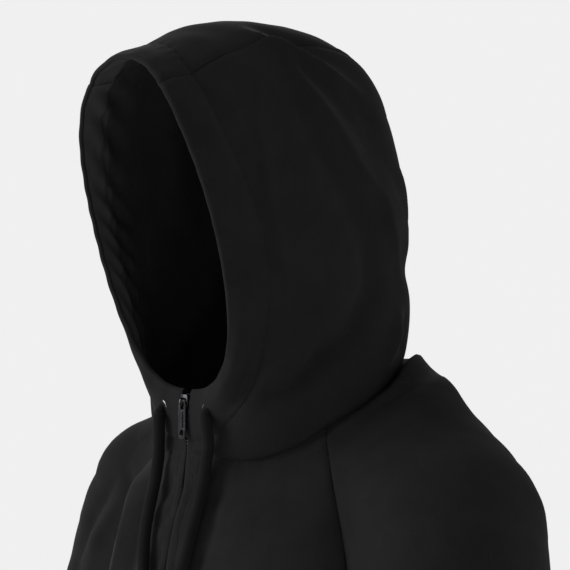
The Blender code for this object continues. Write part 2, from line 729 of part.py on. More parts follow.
def prism(outline, low, high, across):
    """A bmesh prism over an outline of (u, v), from low to high along x or y."""
    mesh = bmesh.new()
    ends = []
    for depth in (low, high):
        if across == "x":
            points = [(depth, u, v) for u, v in outline]
        else:
            points = [(u, depth, v) for u, v in outline]
        ends.append([mesh.verts.new(point) for point in points])
    count = len(outline)
    mesh.faces.new(ends[0])
    mesh.faces.new(ends[1])
    for j in range(count):
        k = (j + 1) % count
        mesh.faces.new((ends[0][j], ends[0][k], ends[1][k], ends[1][j]))
    bmesh.ops.recalc_face_normals(mesh, faces=mesh.faces)
    return mesh


def add_slider(collection, cutters, metal):
    """The slider's body with the bridge that the tab hangs on."""
    half, foot, top, low = 5.0, 4.0, SLIDER_TOP, SLIDER_LOW
    outline = [(-foot, low), (foot, low), (half, low + 5), (half, top), (-half, top), (-half, low + 5)]
    slider = object_from("zip_slider", prism(outline, SLIDER_FRONT, SLIDER_BACK, "y"), collection, metal)
    bevel = slider.modifiers.new("rounded edges", "BEVEL")
    bevel.width = 0.8 * MM
    bevel.segments = 2
    y0, z0 = TAB_AXIS
    inside = SLIDER_FRONT + 0.6
    arch = [
        (inside, z0 - 4.0), (y0 - 2.2, z0 - 4.0), (y0 - 3.1, z0 - 3.0), (y0 - 3.1, z0 + 3.0),
        (y0 - 2.2, z0 + 4.0), (inside, z0 + 4.0), (inside, z0 + 2.7), (y0 - 1.5, z0 + 2.7),
        (y0 - 1.8, z0 + 2.3), (y0 - 1.8, z0 - 2.3), (y0 - 1.5, z0 - 2.7), (inside, z0 - 2.7),
    ]
    bridge = object_from("slider_bridge", prism(arch, -1.2, 1.2, "x"), cutters, metal)
    bridge.hide_render = True
    bridge.display_type = "WIRE"
    union = slider.modifiers.new("bridge", "BOOLEAN")
    union.operation = "UNION"
    union.solver = "EXACT"
    union.object = bridge
    shade(slider, 40)


def round_outline(half_width, top, bottom, corner_top, corner_bottom, steps=5):
    """A closed outline of (x, z) with round corners."""
    points = []
    corners = (
        (half_width, top, corner_top, 0),
        (-half_width, top, corner_top, 90),
        (-half_width, bottom, corner_bottom, 180),
        (half_width, bottom, corner_bottom, 270),
    )
    for x, z, radius, start in corners:
        centre_x = x - math.copysign(radius, x)
        centre_z = z - radius if z == top else z + radius
        for k in range(steps + 1):
            turn = math.radians(start + 90 * k / steps)
            points.append((centre_x + radius * math.cos(turn), centre_z + radius * math.sin(turn)))
    return points


def add_pull_tab(collection, metal):
    """The flat tab: a window round the bridge, a crossbar on the hinge axis and a small window low down."""
    curve = bpy.data.curves.new("pull_tab", "CURVE")
    curve.dimensions = "2D"
    curve.fill_mode = "BOTH"
    curve.extrude = TAB_THICK / 2 * MM
    outlines = (
        round_outline(TAB_HALF_WIDTH, 0.8, -TAB_LENGTH, 0.7, 3.0),
        round_outline(2.6, -0.8, -5.9, 0.5, 1.2, 3),
        round_outline(2.3, 7.8 - TAB_LENGTH, 2.2 - TAB_LENGTH, 1.3, 1.8, 3),
    )
    for outline in outlines:
        spline = curve.splines.new("POLY")
        spline.points.add(len(outline) - 1)
        for point, (x, z) in zip(spline.points, outline):
            point.co = (x * MM, z * MM, 0, 1)
        spline.use_cyclic_u = True
    tab = placed("pull_tab", curve, collection, metal)
    y, z = TAB_AXIS
    tab.location = (0, y * MM, z * MM)
    tab.rotation_euler = (math.pi / 2, 0, 0)


def eyelet_frame(side):
    """Centre on the casing's outer face and the outward direction there."""
    step = 0.004
    base, along = EYELET_PLACE
    grid = hood_side_grid(np.array([base - 1, base, base + 1]), np.array([along - step, along, along + step]))
    normal = unit(np.cross(grid[2, 1] - grid[0, 1], grid[1, 2] - grid[1, 0]))
    way = np.array([side, 1, 1])
    return grid[1, 1] * way, normal * way


def turned(name, profile, steps, place, axis, collection, material):
    """A ring or knob turned from a closed or axis-to-axis profile of (radius, height) about the given axis."""
    mesh = bmesh.new()
    points = [mesh.verts.new((radius, 0, height)) for radius, height in profile]
    on_axis = profile[0][0] == 0
    for j in range(len(points) - 1 if on_axis else len(points)):
        mesh.edges.new((points[j], points[(j + 1) % len(points)]))
    item = object_from(name, mesh, collection, material)
    item.location = Vector(place) * MM
    item.rotation_euler = Vector(axis).to_track_quat("Z", "Y").to_euler()
    screw = item.modifiers.new("turned", "SCREW")
    screw.steps = steps
    screw.render_steps = steps
    screw.use_merge_vertices = True
    screw.merge_threshold = 0.00001
    screw.use_normal_calculate = True
    return item


def add_eyelet(name, side, collection, metal):
    centre, normal = eyelet_frame(side)
    hole, rim, thick = EYELET_HOLE / 2, EYELET_WIDTH / 2, EYELET_THICK
    profile = [
        (hole, 0.2), (hole + 0.5, 0), (rim - 0.3, 0), (rim, 0.3), (rim - 0.5, thick - 0.4),
        (rim - 1.2, thick), (hole + 0.7, thick), (hole, thick - 0.6),
    ]
    turned(name, profile, 24, centre + normal * 0.6, normal, collection, metal)


def smooth_route(points, spacing):
    """Points evenly spaced along the smooth curve through a route's own points."""
    points = np.array(points, float)
    run = np.concatenate([[0], np.cumsum(np.linalg.norm(np.diff(points, axis=0), axis=1))])
    curve = Table("run x y z", *np.column_stack([run, points]))
    dense = curve.at(np.linspace(0, run[-1], 400))
    dense = np.stack([dense[k] for k in "xyz"], axis=-1)
    count = max(4, round(run[-1] / spacing))
    return evenly(dense[None], np.linspace(0, 1, count + 1)[None])[0]


def add_cord(name, route, collection, material):
    points = smooth_route(route, 2.2 * CORD_WIDTH)
    curve = bpy.data.curves.new(name, "CURVE")
    curve.dimensions = "3D"
    curve.bevel_depth = CORD_WIDTH / 2 * MM
    curve.bevel_resolution = 3
    curve.use_fill_caps = True
    spline = curve.splines.new("POLY")
    spline.points.add(len(points) - 1)
    for item, point in zip(spline.points, points):
        item.co = (*(point * MM), 1)
    placed(name, curve, collection, material)


def add_knot(name, route, collection, material):
    """The plain overhand knot at the free end, with its short tail."""
    end, before = np.array(route[-1], float), np.array(route[-2], float)
    way = unit(end - before)
    half, tail = CORD_WIDTH / 2, KNOT_TAIL
    profile = [
        (0, 0.3), (half, 0.3), (half + 2.6, 3), (half + 4.0, 7), (half + 4.0, 10), (half + 2.4, 14),
        (half, 16.5), (half, 16.5 + tail), (half - 1, 17.5 + tail), (0, 17.5 + tail),
    ]
    knot = turned(name, profile, 16, end, way, collection, material)
    shade(knot, 60)


def principled(name, colour, roughness, metallic=0.0):
    material = bpy.data.materials.new(name)
    material.use_nodes = True
    shader = material.node_tree.nodes["Principled BSDF"]
    shader.inputs["Base Color"].default_value = (*colour, 1)
    shader.inputs["Roughness"].default_value = roughness
    shader.inputs["Metallic"].default_value = metallic
    return material


def build():
    for item in list(bpy.data.objects):
        bpy.data.objects.remove(item)
    collection = bpy.data.collections.new("hoodie")
    cutters = bpy.data.collections.new("cutters")
    bpy.context.scene.collection.children.link(collection)
    bpy.context.scene.collection.children.link(cutters)
    fleece = principled("black fleece", (0.012, 0.012, 0.013), 0.9)
    rib = principled("black rib knit", (0.010, 0.010, 0.011), 0.88)
    tape = principled("black zip tape", (0.008, 0.008, 0.009), 0.8)
    cord = principled("black cord", (0.012, 0.012, 0.013), 0.85)
    metal = principled("dark metal", (0.06, 0.06, 0.065), 0.35, 1.0)

    body = body_grids()
    add_panels(body, dict.fromkeys(body, WALL), collection, fleece)
    walls = dict.fromkeys(("hood_side_left", "hood_side_right"), casing_wall(HOOD_BASES))
    walls["hood_centre"] = casing_wall(HOOD_BASES + (180,) * NAPE_ROWS)
    add_panels(hood_grids(), walls, collection, fleece)
    add_hem_band(body, collection, rib)
    for end, side in (("left", 1), ("right", -1)):
        add_cuff("cuff_" + end, side, collection, rib)
        add_zip_tape("zip_tape_" + end, side, body, collection, tape)
        add_eyelet("eyelet_" + end, side, collection, metal)
    add_slider(collection, cutters, metal)
    add_pull_tab(collection, metal)
    for end, route in (("left", CORD_ROUTE_LEFT), ("right", CORD_ROUTE_RIGHT)):
        add_cord("drawstring_" + end, route, collection, cord)
        add_knot("knot_" + end, route, collection, cord)


build()
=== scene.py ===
import json
import math

import bmesh
import bpy
import numpy as np
from mathutils import Vector
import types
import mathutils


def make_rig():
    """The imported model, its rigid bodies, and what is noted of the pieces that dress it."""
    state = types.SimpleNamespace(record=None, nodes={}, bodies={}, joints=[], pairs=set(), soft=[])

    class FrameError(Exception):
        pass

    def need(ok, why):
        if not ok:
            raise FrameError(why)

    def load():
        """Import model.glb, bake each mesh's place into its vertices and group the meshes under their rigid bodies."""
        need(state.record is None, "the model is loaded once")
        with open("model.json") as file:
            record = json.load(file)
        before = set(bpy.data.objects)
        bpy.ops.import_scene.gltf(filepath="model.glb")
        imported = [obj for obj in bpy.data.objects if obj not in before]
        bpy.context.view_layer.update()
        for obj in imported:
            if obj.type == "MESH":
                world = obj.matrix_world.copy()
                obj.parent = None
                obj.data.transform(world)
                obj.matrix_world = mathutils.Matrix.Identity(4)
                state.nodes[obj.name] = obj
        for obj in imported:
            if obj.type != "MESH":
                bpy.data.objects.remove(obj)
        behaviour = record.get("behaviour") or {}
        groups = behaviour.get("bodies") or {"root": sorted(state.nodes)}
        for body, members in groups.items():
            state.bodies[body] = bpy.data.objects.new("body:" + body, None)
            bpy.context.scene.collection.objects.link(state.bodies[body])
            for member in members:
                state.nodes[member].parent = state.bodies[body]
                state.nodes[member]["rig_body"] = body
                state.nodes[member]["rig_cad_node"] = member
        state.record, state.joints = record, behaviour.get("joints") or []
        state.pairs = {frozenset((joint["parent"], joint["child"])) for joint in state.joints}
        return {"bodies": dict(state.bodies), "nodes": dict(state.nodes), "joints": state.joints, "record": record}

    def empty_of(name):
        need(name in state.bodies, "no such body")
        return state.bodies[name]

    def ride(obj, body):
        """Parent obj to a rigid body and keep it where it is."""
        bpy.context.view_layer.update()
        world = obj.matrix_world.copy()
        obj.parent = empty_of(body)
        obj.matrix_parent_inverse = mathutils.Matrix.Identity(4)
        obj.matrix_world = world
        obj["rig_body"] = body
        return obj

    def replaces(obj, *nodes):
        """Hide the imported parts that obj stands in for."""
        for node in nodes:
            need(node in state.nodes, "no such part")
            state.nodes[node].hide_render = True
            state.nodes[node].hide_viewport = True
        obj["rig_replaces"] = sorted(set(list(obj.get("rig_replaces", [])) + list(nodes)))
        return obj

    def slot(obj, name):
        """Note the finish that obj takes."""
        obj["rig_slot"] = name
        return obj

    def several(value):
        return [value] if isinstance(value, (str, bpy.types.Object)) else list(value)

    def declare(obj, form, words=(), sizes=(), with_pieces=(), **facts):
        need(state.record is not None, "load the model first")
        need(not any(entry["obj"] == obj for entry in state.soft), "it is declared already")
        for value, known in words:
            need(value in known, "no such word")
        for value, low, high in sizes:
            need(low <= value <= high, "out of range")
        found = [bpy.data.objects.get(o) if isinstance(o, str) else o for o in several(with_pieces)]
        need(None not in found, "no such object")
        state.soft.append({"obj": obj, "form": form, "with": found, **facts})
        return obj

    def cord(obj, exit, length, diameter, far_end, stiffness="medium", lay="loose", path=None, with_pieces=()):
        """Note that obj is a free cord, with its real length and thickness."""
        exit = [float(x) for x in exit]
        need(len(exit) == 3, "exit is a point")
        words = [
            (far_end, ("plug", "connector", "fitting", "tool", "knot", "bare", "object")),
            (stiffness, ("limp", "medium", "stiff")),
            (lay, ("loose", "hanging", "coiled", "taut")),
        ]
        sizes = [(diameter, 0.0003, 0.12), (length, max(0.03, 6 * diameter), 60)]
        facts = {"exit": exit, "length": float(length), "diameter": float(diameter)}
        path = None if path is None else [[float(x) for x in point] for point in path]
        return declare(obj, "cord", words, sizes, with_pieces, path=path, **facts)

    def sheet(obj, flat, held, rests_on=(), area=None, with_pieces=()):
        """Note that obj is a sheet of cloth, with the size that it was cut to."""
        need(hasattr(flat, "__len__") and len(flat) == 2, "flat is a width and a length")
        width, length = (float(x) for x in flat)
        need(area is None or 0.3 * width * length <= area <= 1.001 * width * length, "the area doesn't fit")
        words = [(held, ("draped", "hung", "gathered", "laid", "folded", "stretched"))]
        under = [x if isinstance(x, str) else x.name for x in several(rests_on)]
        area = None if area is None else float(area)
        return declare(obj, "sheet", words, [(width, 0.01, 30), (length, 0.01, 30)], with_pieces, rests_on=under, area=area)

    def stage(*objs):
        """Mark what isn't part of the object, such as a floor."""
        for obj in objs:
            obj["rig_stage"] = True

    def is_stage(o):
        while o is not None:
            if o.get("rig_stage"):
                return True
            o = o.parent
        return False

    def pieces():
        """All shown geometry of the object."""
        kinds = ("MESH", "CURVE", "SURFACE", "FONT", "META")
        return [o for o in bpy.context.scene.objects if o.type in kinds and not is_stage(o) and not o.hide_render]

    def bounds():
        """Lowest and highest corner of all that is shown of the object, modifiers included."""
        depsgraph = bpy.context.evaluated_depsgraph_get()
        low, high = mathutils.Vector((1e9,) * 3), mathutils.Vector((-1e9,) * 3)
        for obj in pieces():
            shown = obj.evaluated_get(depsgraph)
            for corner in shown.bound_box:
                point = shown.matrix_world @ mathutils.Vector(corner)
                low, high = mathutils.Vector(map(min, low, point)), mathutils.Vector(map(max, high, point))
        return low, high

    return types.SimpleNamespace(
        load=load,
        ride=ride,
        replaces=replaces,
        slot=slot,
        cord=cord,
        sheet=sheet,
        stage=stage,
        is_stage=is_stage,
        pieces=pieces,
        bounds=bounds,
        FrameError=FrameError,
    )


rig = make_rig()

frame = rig.load()
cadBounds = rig.bounds()
mm = 0.001
clothBody = "hoodie"  # every sewn piece moves with it; only the pull tab swings
tabBody = "pull"
print("frame loaded")


def newObject(name, data):
    item = bpy.data.objects.new(name, data)
    bpy.context.scene.collection.objects.link(item)
    return item


def meshOf(item):
    # the object's mesh with its modifiers applied; the object goes
    data = bpy.data.meshes.new_from_object(item.evaluated_get(bpy.context.evaluated_depsgraph_get()))
    bpy.data.objects.remove(item)
    return data


def fit(item, slot, nodeName=None, body=clothBody):
    # the piece takes its node's place, if it has one, and moves with its body
    if nodeName:
        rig.replaces(item, nodeName)
    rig.ride(item, body)
    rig.slot(item, slot)
    return item


# Camera, at the height of the hood and from the wearer's left front

camera = {
    "azimuth": 50,  # degrees round from the front
    "elevation": 2,
    "distance": 3.5,  # metres from the aim point
    "aim": (0.00746, 0.00889, 0.104),
    "span": 0.49565,  # metres that the frame's width covers at the aim point
    "sensor": 36,
    "farClip": 60,
}


def addCamera(settings):
    turn = math.radians(settings["azimuth"])
    lift = math.radians(settings["elevation"])
    back = Vector((
        math.sin(turn) * math.cos(lift),
        -math.cos(turn) * math.cos(lift),
        math.sin(lift),
    ))
    data = bpy.data.cameras.new("camera")
    data.sensor_width = settings["sensor"]
    data.lens = settings["sensor"] * settings["distance"] / settings["span"]
    data.clip_end = settings["farClip"]
    item = newObject("camera", data)
    item.location = Vector(settings["aim"]) + back * settings["distance"]
    item.rotation_euler = (-back).to_track_quat("-Z", "Y").to_euler()
    bpy.context.scene.camera = item


addCamera(camera)


# Small tools for shader maths

class Socket:
    def __init__(self, tree, link):
        self.tree = tree
        self.link = link

    def maths(self, operation, other, swap=False):
        parts = (other, self) if swap else (self, other)
        return addNode(self.tree, "ShaderNodeMath", {"operation": operation}, {0: parts[0], 1: parts[1]})

    def __add__(self, other):
        return self.maths("ADD", other)

    def __radd__(self, other):
        return self.maths("ADD", other, True)

    def __sub__(self, other):
        return self.maths("SUBTRACT", other)

    def __rsub__(self, other):
        return self.maths("SUBTRACT", other, True)

    def __mul__(self, other):
        return self.maths("MULTIPLY", other)

    def __rmul__(self, other):
        return self.maths("MULTIPLY", other, True)

    def __pow__(self, other):
        return self.maths("POWER", other)


def addNode(tree, kind, settings, values, output=0):
    node = tree.nodes.new(kind)
    for name, value in settings.items():
        if name == "ramp":
            for stop, (place, colour) in zip(node.color_ramp.elements, value):
                stop.position = place
                stop.color = colour
        else:
            setattr(node, name, value)
    for name, value in values.items():
        if isinstance(value, Socket):
            tree.links.new(value.link, node.inputs[name])
        else:
            node.inputs[name].default_value = value
    return Socket(tree, node.outputs[output])


def newMaterial(name, fixed):
    material = bpy.data.materials.new(name)
    material.use_nodes = True
    shader = material.node_tree.nodes["Principled BSDF"]
    for socket, value in fixed.items():
        shader.inputs[socket].default_value = value
    return material, material.node_tree, shader


def objectPoint(tree):
    return addNode(tree, "ShaderNodeTexCoord", {}, {}, "Object")


def noise(tree, point, scale, detail, roughness):
    values = {"Vector": point, "Scale": scale, "Detail": detail, "Roughness": roughness}
    return addNode(tree, "ShaderNodeTexNoise", {}, values)


def mixColours(tree, factor, first, second):
    values = {"Factor": factor, 6: first, 7: second}
    return addNode(tree, "ShaderNodeMix", {"data_type": "RGBA"}, values, 2)


def bump(tree, height, strength, distance):
    values = {"Height": height, "Strength": strength, "Distance": distance}
    return addNode(tree, "ShaderNodeBump", {}, values)


def feed(tree, shader, **values):
    # what changes over the surface
    sockets = {"colour": "Base Color", "roughness": "Roughness", "normal": "Normal"}
    for name, value in values.items():
        tree.links.new(value.link, shader.inputs[sockets[name]])


# Materials

def nearGrey(level, blue):
    return (level, level, blue, 1)


fleeceLook = {
    "dark": nearGrey(0.0085, 0.0088),
    "light": nearGrey(0.0155, 0.0162),
    "roughness": 0.95,
    "gloss": 0.12,
    "sheen": 0.02,
    "sheenRoughness": 0.4,
    "sheenTint": nearGrey(0.9, 0.92),
    "patchSize": 28,  # noise scale per metre
    "napSize": 520,
    "knitSize": 1400,
    "patchShare": 0.55,
    "toneFrom": 0.3,
    "toneGain": 2.2,
    "knitShare": 0.3,
    "bump": 0.35,
    "bumpDepth": 0.0006,
}


def clothMaterial(name, **changes):
    look = {**fleeceLook, **changes}
    material, tree, shader = newMaterial(name, {
        "Roughness": look["roughness"],
        "Sheen Weight": look["sheen"],
        "Sheen Roughness": look["sheenRoughness"],
        "Sheen Tint": look["sheenTint"],
        "Specular IOR Level": look["gloss"],
    })
    point = objectPoint(tree)
    patches = noise(tree, point, look["patchSize"], 4, 0.6)
    nap = noise(tree, point, look["napSize"], 3, 0.6)
    knit = noise(tree, point, look["knitSize"], 1, 0.5)
    tone = patches * look["patchShare"] + nap * (1 - look["patchShare"])
    blend = (tone - look["toneFrom"]) * look["toneGain"]
    height = nap * (1 - look["knitShare"]) + knit * look["knitShare"]
    feed(tree, shader, colour=mixColours(tree, blend, look["dark"], look["light"]),
         normal=bump(tree, height, look["bump"], look["bumpDepth"]))
    return material


fleece = clothMaterial("black fleece")
ribKnit = clothMaterial("black rib knit", napSize=900, bump=0.5, sheen=0.012)
# the turned-in right side of the fleece is the same cloth as outside; its lighter colour is painted light, a painted
# highlight on the hood's inner band
fleeceTurnedPaintedLit = clothMaterial(
    "black fleece turned in", dark=nearGrey(0.034, 0.0352), light=nearGrey(0.055, 0.0565), sheen=0.03)
fleeceInside = clothMaterial(
    "brushed inside", dark=nearGrey(0.018, 0.0187), light=nearGrey(0.032, 0.033), napSize=330, sheen=0.04)
tapeCloth = clothMaterial("black zip tape", napSize=1500, roughness=0.8)
cordCloth = clothMaterial(
    "black cord", dark=nearGrey(0.005, 0.0052), light=nearGrey(0.009, 0.0094), napSize=1100, sheen=0.008)
thread = clothMaterial("black thread", dark=nearGrey(0.012, 0.0125), light=nearGrey(0.02, 0.0206),
                       napSize=2500, sheen=0.03, roughness=0.6)

metalLook = {
    "gloss": 0.5,
    "wearSize": 420,  # noise scale per metre
    "scratchSize": 2600,
    "darkest": 0.75,  # shares of the metal's colour
    "lightest": 1.3,
    "roughnessSpread": 0.16,
    "bump": 0.08,
    "bumpDepth": 0.0002,
}


def metalMaterial(name, level, blue, roughness):
    fixed = {"Metallic": 1.0, "Specular IOR Level": metalLook["gloss"]}
    material, tree, shader = newMaterial(name, fixed)
    point = objectPoint(tree)
    wear = noise(tree, point, metalLook["wearSize"], 4, 0.6)
    scratch = noise(tree, point, metalLook["scratchSize"], 2, 0.5)
    dark, light = (nearGrey(level * metalLook[k], blue * metalLook[k]) for k in ("darkest", "lightest"))
    spread = metalLook["roughnessSpread"]
    feed(tree, shader, colour=mixColours(tree, wear, dark, light),
         roughness=wear * spread + (roughness - spread / 2),
         normal=bump(tree, scratch, metalLook["bump"], metalLook["bumpDepth"]))
    return material


eyeletMetal = metalMaterial("eyelet metal", 0.16, 0.165, 0.24)
gunmetal = metalMaterial("gunmetal", 0.04, 0.043, 0.28)
toothMetal = metalMaterial("tooth metal", 0.05, 0.054, 0.34)
print("materials made")


# Surface maths, in millimetres

class Profile:
    def __init__(self, columns, *rows):
        self.names = columns.split()
        self.rows = np.array(rows, float)

    def at(self, key):
        key = np.clip(np.asarray(key, float), self.rows[0, 0], self.rows[-1, 0])
        keys = self.rows[:, 0]
        step = np.diff(keys)[:, None]
        slope = np.diff(self.rows, axis=0) / step
        before, after = slope[:-1], slope[1:]
        turning = before * after <= 0
        total = np.where(turning, 1.0, before + after)
        tangent = np.empty_like(self.rows)
        tangent[1:-1] = np.where(turning, 0.0, 2 * before * after / total)
        tangent[0] = slope[0]
        tangent[-1] = slope[-1]
        i = np.clip(np.searchsorted(keys, key, side="right") - 1, 0, len(keys) - 2)
        width = step[i, 0]
        s = ((key - keys[i]) / width)[..., None]
        width = width[..., None]
        value = (
            (2 * s**3 - 3 * s**2 + 1) * self.rows[i]
            + (s**3 - 2 * s**2 + s) * width * tangent[i]
            + (3 * s**2 - 2 * s**3) * self.rows[i + 1]
            + (s**3 - s**2) * width * tangent[i + 1]
        )
        return {name: value[..., k] for k, name in enumerate(self.names)}


def unit(vectors):
    return vectors / np.maximum(np.linalg.norm(vectors, axis=-1, keepdims=True), 1e-9)


def smoothStep(x):
    x = np.clip(x, 0, 1)
    return x * x * (3 - 2 * x)


def bell(distance, width):
    return np.exp(-((distance / width) ** 2))


def swaying(along, pitch, sway, swayRun):
    # a wave whose crests drift to and fro along its run
    return np.sin(2 * np.pi * along / pitch + sway * np.sin(along / swayRun))


def runAlong(points, axis=0):
    # mm from the start of each line of points
    steps = np.linalg.norm(np.diff(points, axis=axis), axis=-1)
    return np.insert(np.cumsum(steps, axis=axis), 0, 0, axis=axis)


def smoothLine(points, count):
    points = np.array(points, float)
    run = runAlong(points)
    line = Profile("run x y z", *np.column_stack([run, points])).at(np.linspace(0, run[-1], count))
    return np.stack([line[k] for k in "xyz"], axis=-1)


def power(x, exponent):
    return np.clip(x, 0, None) ** exponent


def evenly(curves, fractions):
    run = runAlong(curves, 1)
    out = np.empty((len(curves), fractions.shape[1], 3))
    for i, curve in enumerate(curves):
        for k in range(3):
            out[i, :, k] = np.interp(fractions[i] * run[i, -1], run[i], curve[:, k])
    return out


def mirrored(grid):
    return grid * np.array([-1, 1, 1])


def denser(keys, times):
    keys = np.array(keys, float)
    return np.interp(np.arange((len(keys) - 1) * times + 1) / times, np.arange(len(keys)), keys)


cloth = {
    "wall": 2.4,
    "casingWall": 5.0,
    "seamHalfGap": 0.08,
    "neckHalfGap": 0.02,
}

neck = {
    "halfWidth": 100,
    "front": 100,
    "back": 112,
    "centreY": 5,
    "frontRaglan": 75,
    "backRaglan": 140,
    "nape": 156,
}

neckRing = Profile(
    "angle z",
    (0, -34), (35, -41), (60, -28), (75, -14), (90, -3), (112, 15), (135, 31), (160, 42), (180, 46),
)

hoodHoops = Profile(
    "base apexY apexZ width widest lowRound topRound lean visor",
    (-49, -160, 303, 86, 0.48, 2.25, 2.22, 0, 8),
    (-21, -138, 307, 94, 0.50, 2.0, 2.08, -20, 5),
    (0, -118, 317, 98, 0.51, 1.85, 2.1, -28, 2),
    (25, -88, 328, 101, 0.52, 1.85, 2.0, -30, 0),
    (55, -45, 333, 103, 0.52, 2.0, 1.95, -18, 0),
    (85, 2, 329, 104, 0.50, 2.0, 1.95, -8, 0),
    (110, 50, 315, 102, 0.48, 2.0, 1.95, 2, 3),
    (130, 91, 280, 95, 0.44, 2.0, 2.0, 8, 8),
    (143, 107, 226, 78, 0.40, 2.0, 2.0, 8, 10),
    (153, 109, 150, 54, 0.32, 2.0, 2.1, 2, 4),
    (161, 117, 46, 34, 0.04, 2.0, 2.0, 0, 0),
)
stripHalf = Profile(
    "base half", (-49, 50.5), (15, 49.5), (33, 48), (56, 42), (75, 41), (110, 42), (143, 39), (161, 33))

yoke = Profile(
    "row frontX frontY frontZ backX backY backZ ridgeX ridgeY ridgeZ sweep",
    (0.00, 96.6, -20.9, -14, 64.3, 90.8, 33.7, 93, 44, 17, 45),
    (0.20, 112, -30, -37, 90, 114, 18, 131, 58, 21, 58),
    (0.40, 130, -38, -70, 116, 130, -30, 176, 51, -10, 70),
    (0.60, 143, -42, -104, 136, 134, -80, 224, 46, -41, 86),
    (0.80, 151, -43, -143, 148, 126, -140, 261, 40, -97, 107),
    (0.92, 153, -31, -188, 151, 100, -190, 278, 36, -150, 131),
    (0.97, 151, 0, -219, 150, 70, -220, 283, 35, -171, 156),
    (1.00, 148, 33.5, -232, 148, 36.5, -232, 286, 35, -190, 179),
)
arm = Profile(
    "row x y z breadth width",
    (1.00, 217, 35, -211, 86, 72),
    (1.20, 241, 36, -290, 78, 67),
    (1.45, 268, 32, -390, 68, 61),
    (1.70, 286, 22, -480, 60, 56),
    (1.90, 294, 4, -548, 56, 54),
    (1.97, 296, -2, -573, 53, 51),
    (2.00, 296, -4, -583, 43, 41),
)
trunk = Profile(
    "row frontY frontZ backY backZ sideX sideY sideZ frontSweep backSweep round",
    (0.00, -95, -34, 117, 46, 0, 0, 0, 75, 40, 2.0),
    (0.20, -99, -68, 129, 18, 0, 0, 0, 73, 48, 2.0),
    (0.40, -107, -90, 141, -25, 0, 0, 0, 73, 58, 2.0),
    (0.60, -114, -114, 150, -75, 0, 0, 0, 75, 68, 2.05),
    (0.80, -120, -147, 154, -135, 0, 0, 0, 79, 78, 2.1),
    (0.92, -125, -184, 154, -185, 0, 0, 0, 84, 85, 2.15),
    (1.00, -130, -230, 152, -230, 148, 35, -232, 90, 90, 2.2),
    (1.20, -133, -300, 149, -300, 165, 30, -300, 90, 90, 2.25),
    (1.50, -132, -400, 145, -400, 170, 20, -400, 90, 90, 2.3),
    (1.80, -127, -510, 140, -510, 169, 14, -510, 90, 90, 2.3),
    (2.00, -119, -603, 132, -603, 164, 10, -603, 90, 90, 2.3),
)

zipLine = {
    "halfGap": 1.0,  # mm
    "sliderHalfGap": 5.6,
}


def neckPoint(angle):
    turn = np.radians(angle)
    depth = np.where(np.abs(angle) < 90, neck["front"], neck["back"])
    x = neck["halfWidth"] * np.sin(turn)
    y = neck["centreY"] - depth * np.cos(turn)
    return np.stack([x, y, neckRing.at(np.abs(angle))["z"]], axis=-1)


def zipGap(z):
    opening = zipLine["sliderHalfGap"] - zipLine["halfGap"]
    return zipLine["halfGap"] + opening * smoothStep((z + 10) / 14)


def hoodBase(base):
    front = neckPoint(np.zeros_like(base))
    zipped = front.copy()
    zipped[:, 2] = front[:, 2] + np.clip(-base, 0, None)
    zipped[:, 0] = zipGap(zipped[:, 2])
    ring = neckPoint(np.clip(base, 0, 180))
    ring[:, 0] = ring[:, 0] + zipLine["halfGap"] * np.clip(1 - base / 5, 0, 1)
    return np.where((base < 0)[:, None], zipped, ring)


def hoopCurves(base):
    base = np.asarray(base, float)
    row = {name: value[:, None] for name, value in hoodHoops.at(base).items()}
    start = hoodBase(base)
    turn = np.linspace(0, np.pi, 601)[None, :]
    low = turn < np.pi / 2
    side = np.abs(np.sin(turn))
    rise = np.abs(np.cos(turn))
    startX = start[:, :1]
    xLow = startX + (row["width"] - startX) * power(side, 2 / row["lowRound"])
    xTop = row["width"] * power(side, 2 / row["topRound"])
    qLow = row["widest"] * (1 - power(rise, 2 / row["lowRound"]))
    qTop = row["widest"] + (1 - row["widest"]) * power(rise, 2 / row["topRound"])
    x = np.where(low, xLow, xTop)
    q = np.where(low, qLow, qTop)
    runY = row["apexY"] - start[:, 1:2]
    runZ = row["apexZ"] - start[:, 2:3]
    length = np.hypot(runY, runZ)
    ahead = row["lean"] * 4 * q * (1 - q) + row["visor"] * 12.2 * q**4 * (1 - q)
    y = start[:, 1:2] + q * runY - ahead * runZ / length
    z = start[:, 2:3] + q * runZ + ahead * runY / length
    hoops = np.stack([x, y, z], axis=-1)
    half = stripHalf.at(base)["half"]
    seam = np.empty(len(base))
    for i, hoop in enumerate(hoops):
        run = runAlong(hoop)
        top = np.argmax(hoop[:, 0])
        seam[i] = np.interp(-half[i], -hoop[top:, 0], run[top:]) / run[-1]
    return hoops, seam


def hoodSideGrid(bases, fractions):
    hoops, seam = hoopCurves(bases)
    return evenly(hoops, seam[:, None] * np.asarray(fractions)[None, :])


def hoodCentreGrid(bases, columns, napeRows):
    hoops, seam = hoopCurves(bases)
    half = np.linspace(0, 1, columns // 2 + 1)[None, :]
    left = evenly(hoops, seam[:, None] + (1 - seam[:, None]) * half)
    left[:, -1, 0] = 0
    atNape = neckPoint(np.linspace(neck["nape"], 180, columns // 2 + 1))
    downSide = hoodSideGrid(bases[-1:], np.linspace(1, 0, napeRows + 1))[0]
    rows = [left]
    for k in range(1, napeRows + 1):
        t = k / napeRows
        row = (1 - t) * left[-1] + t * atNape
        sway = downSide[k] - row[0]
        rows.append((row + sway * (1 - half[0][:, None]))[None])
    left = np.concatenate(rows)
    right = mirrored(left[:, -2::-1])
    return np.concatenate([left, right], axis=1)


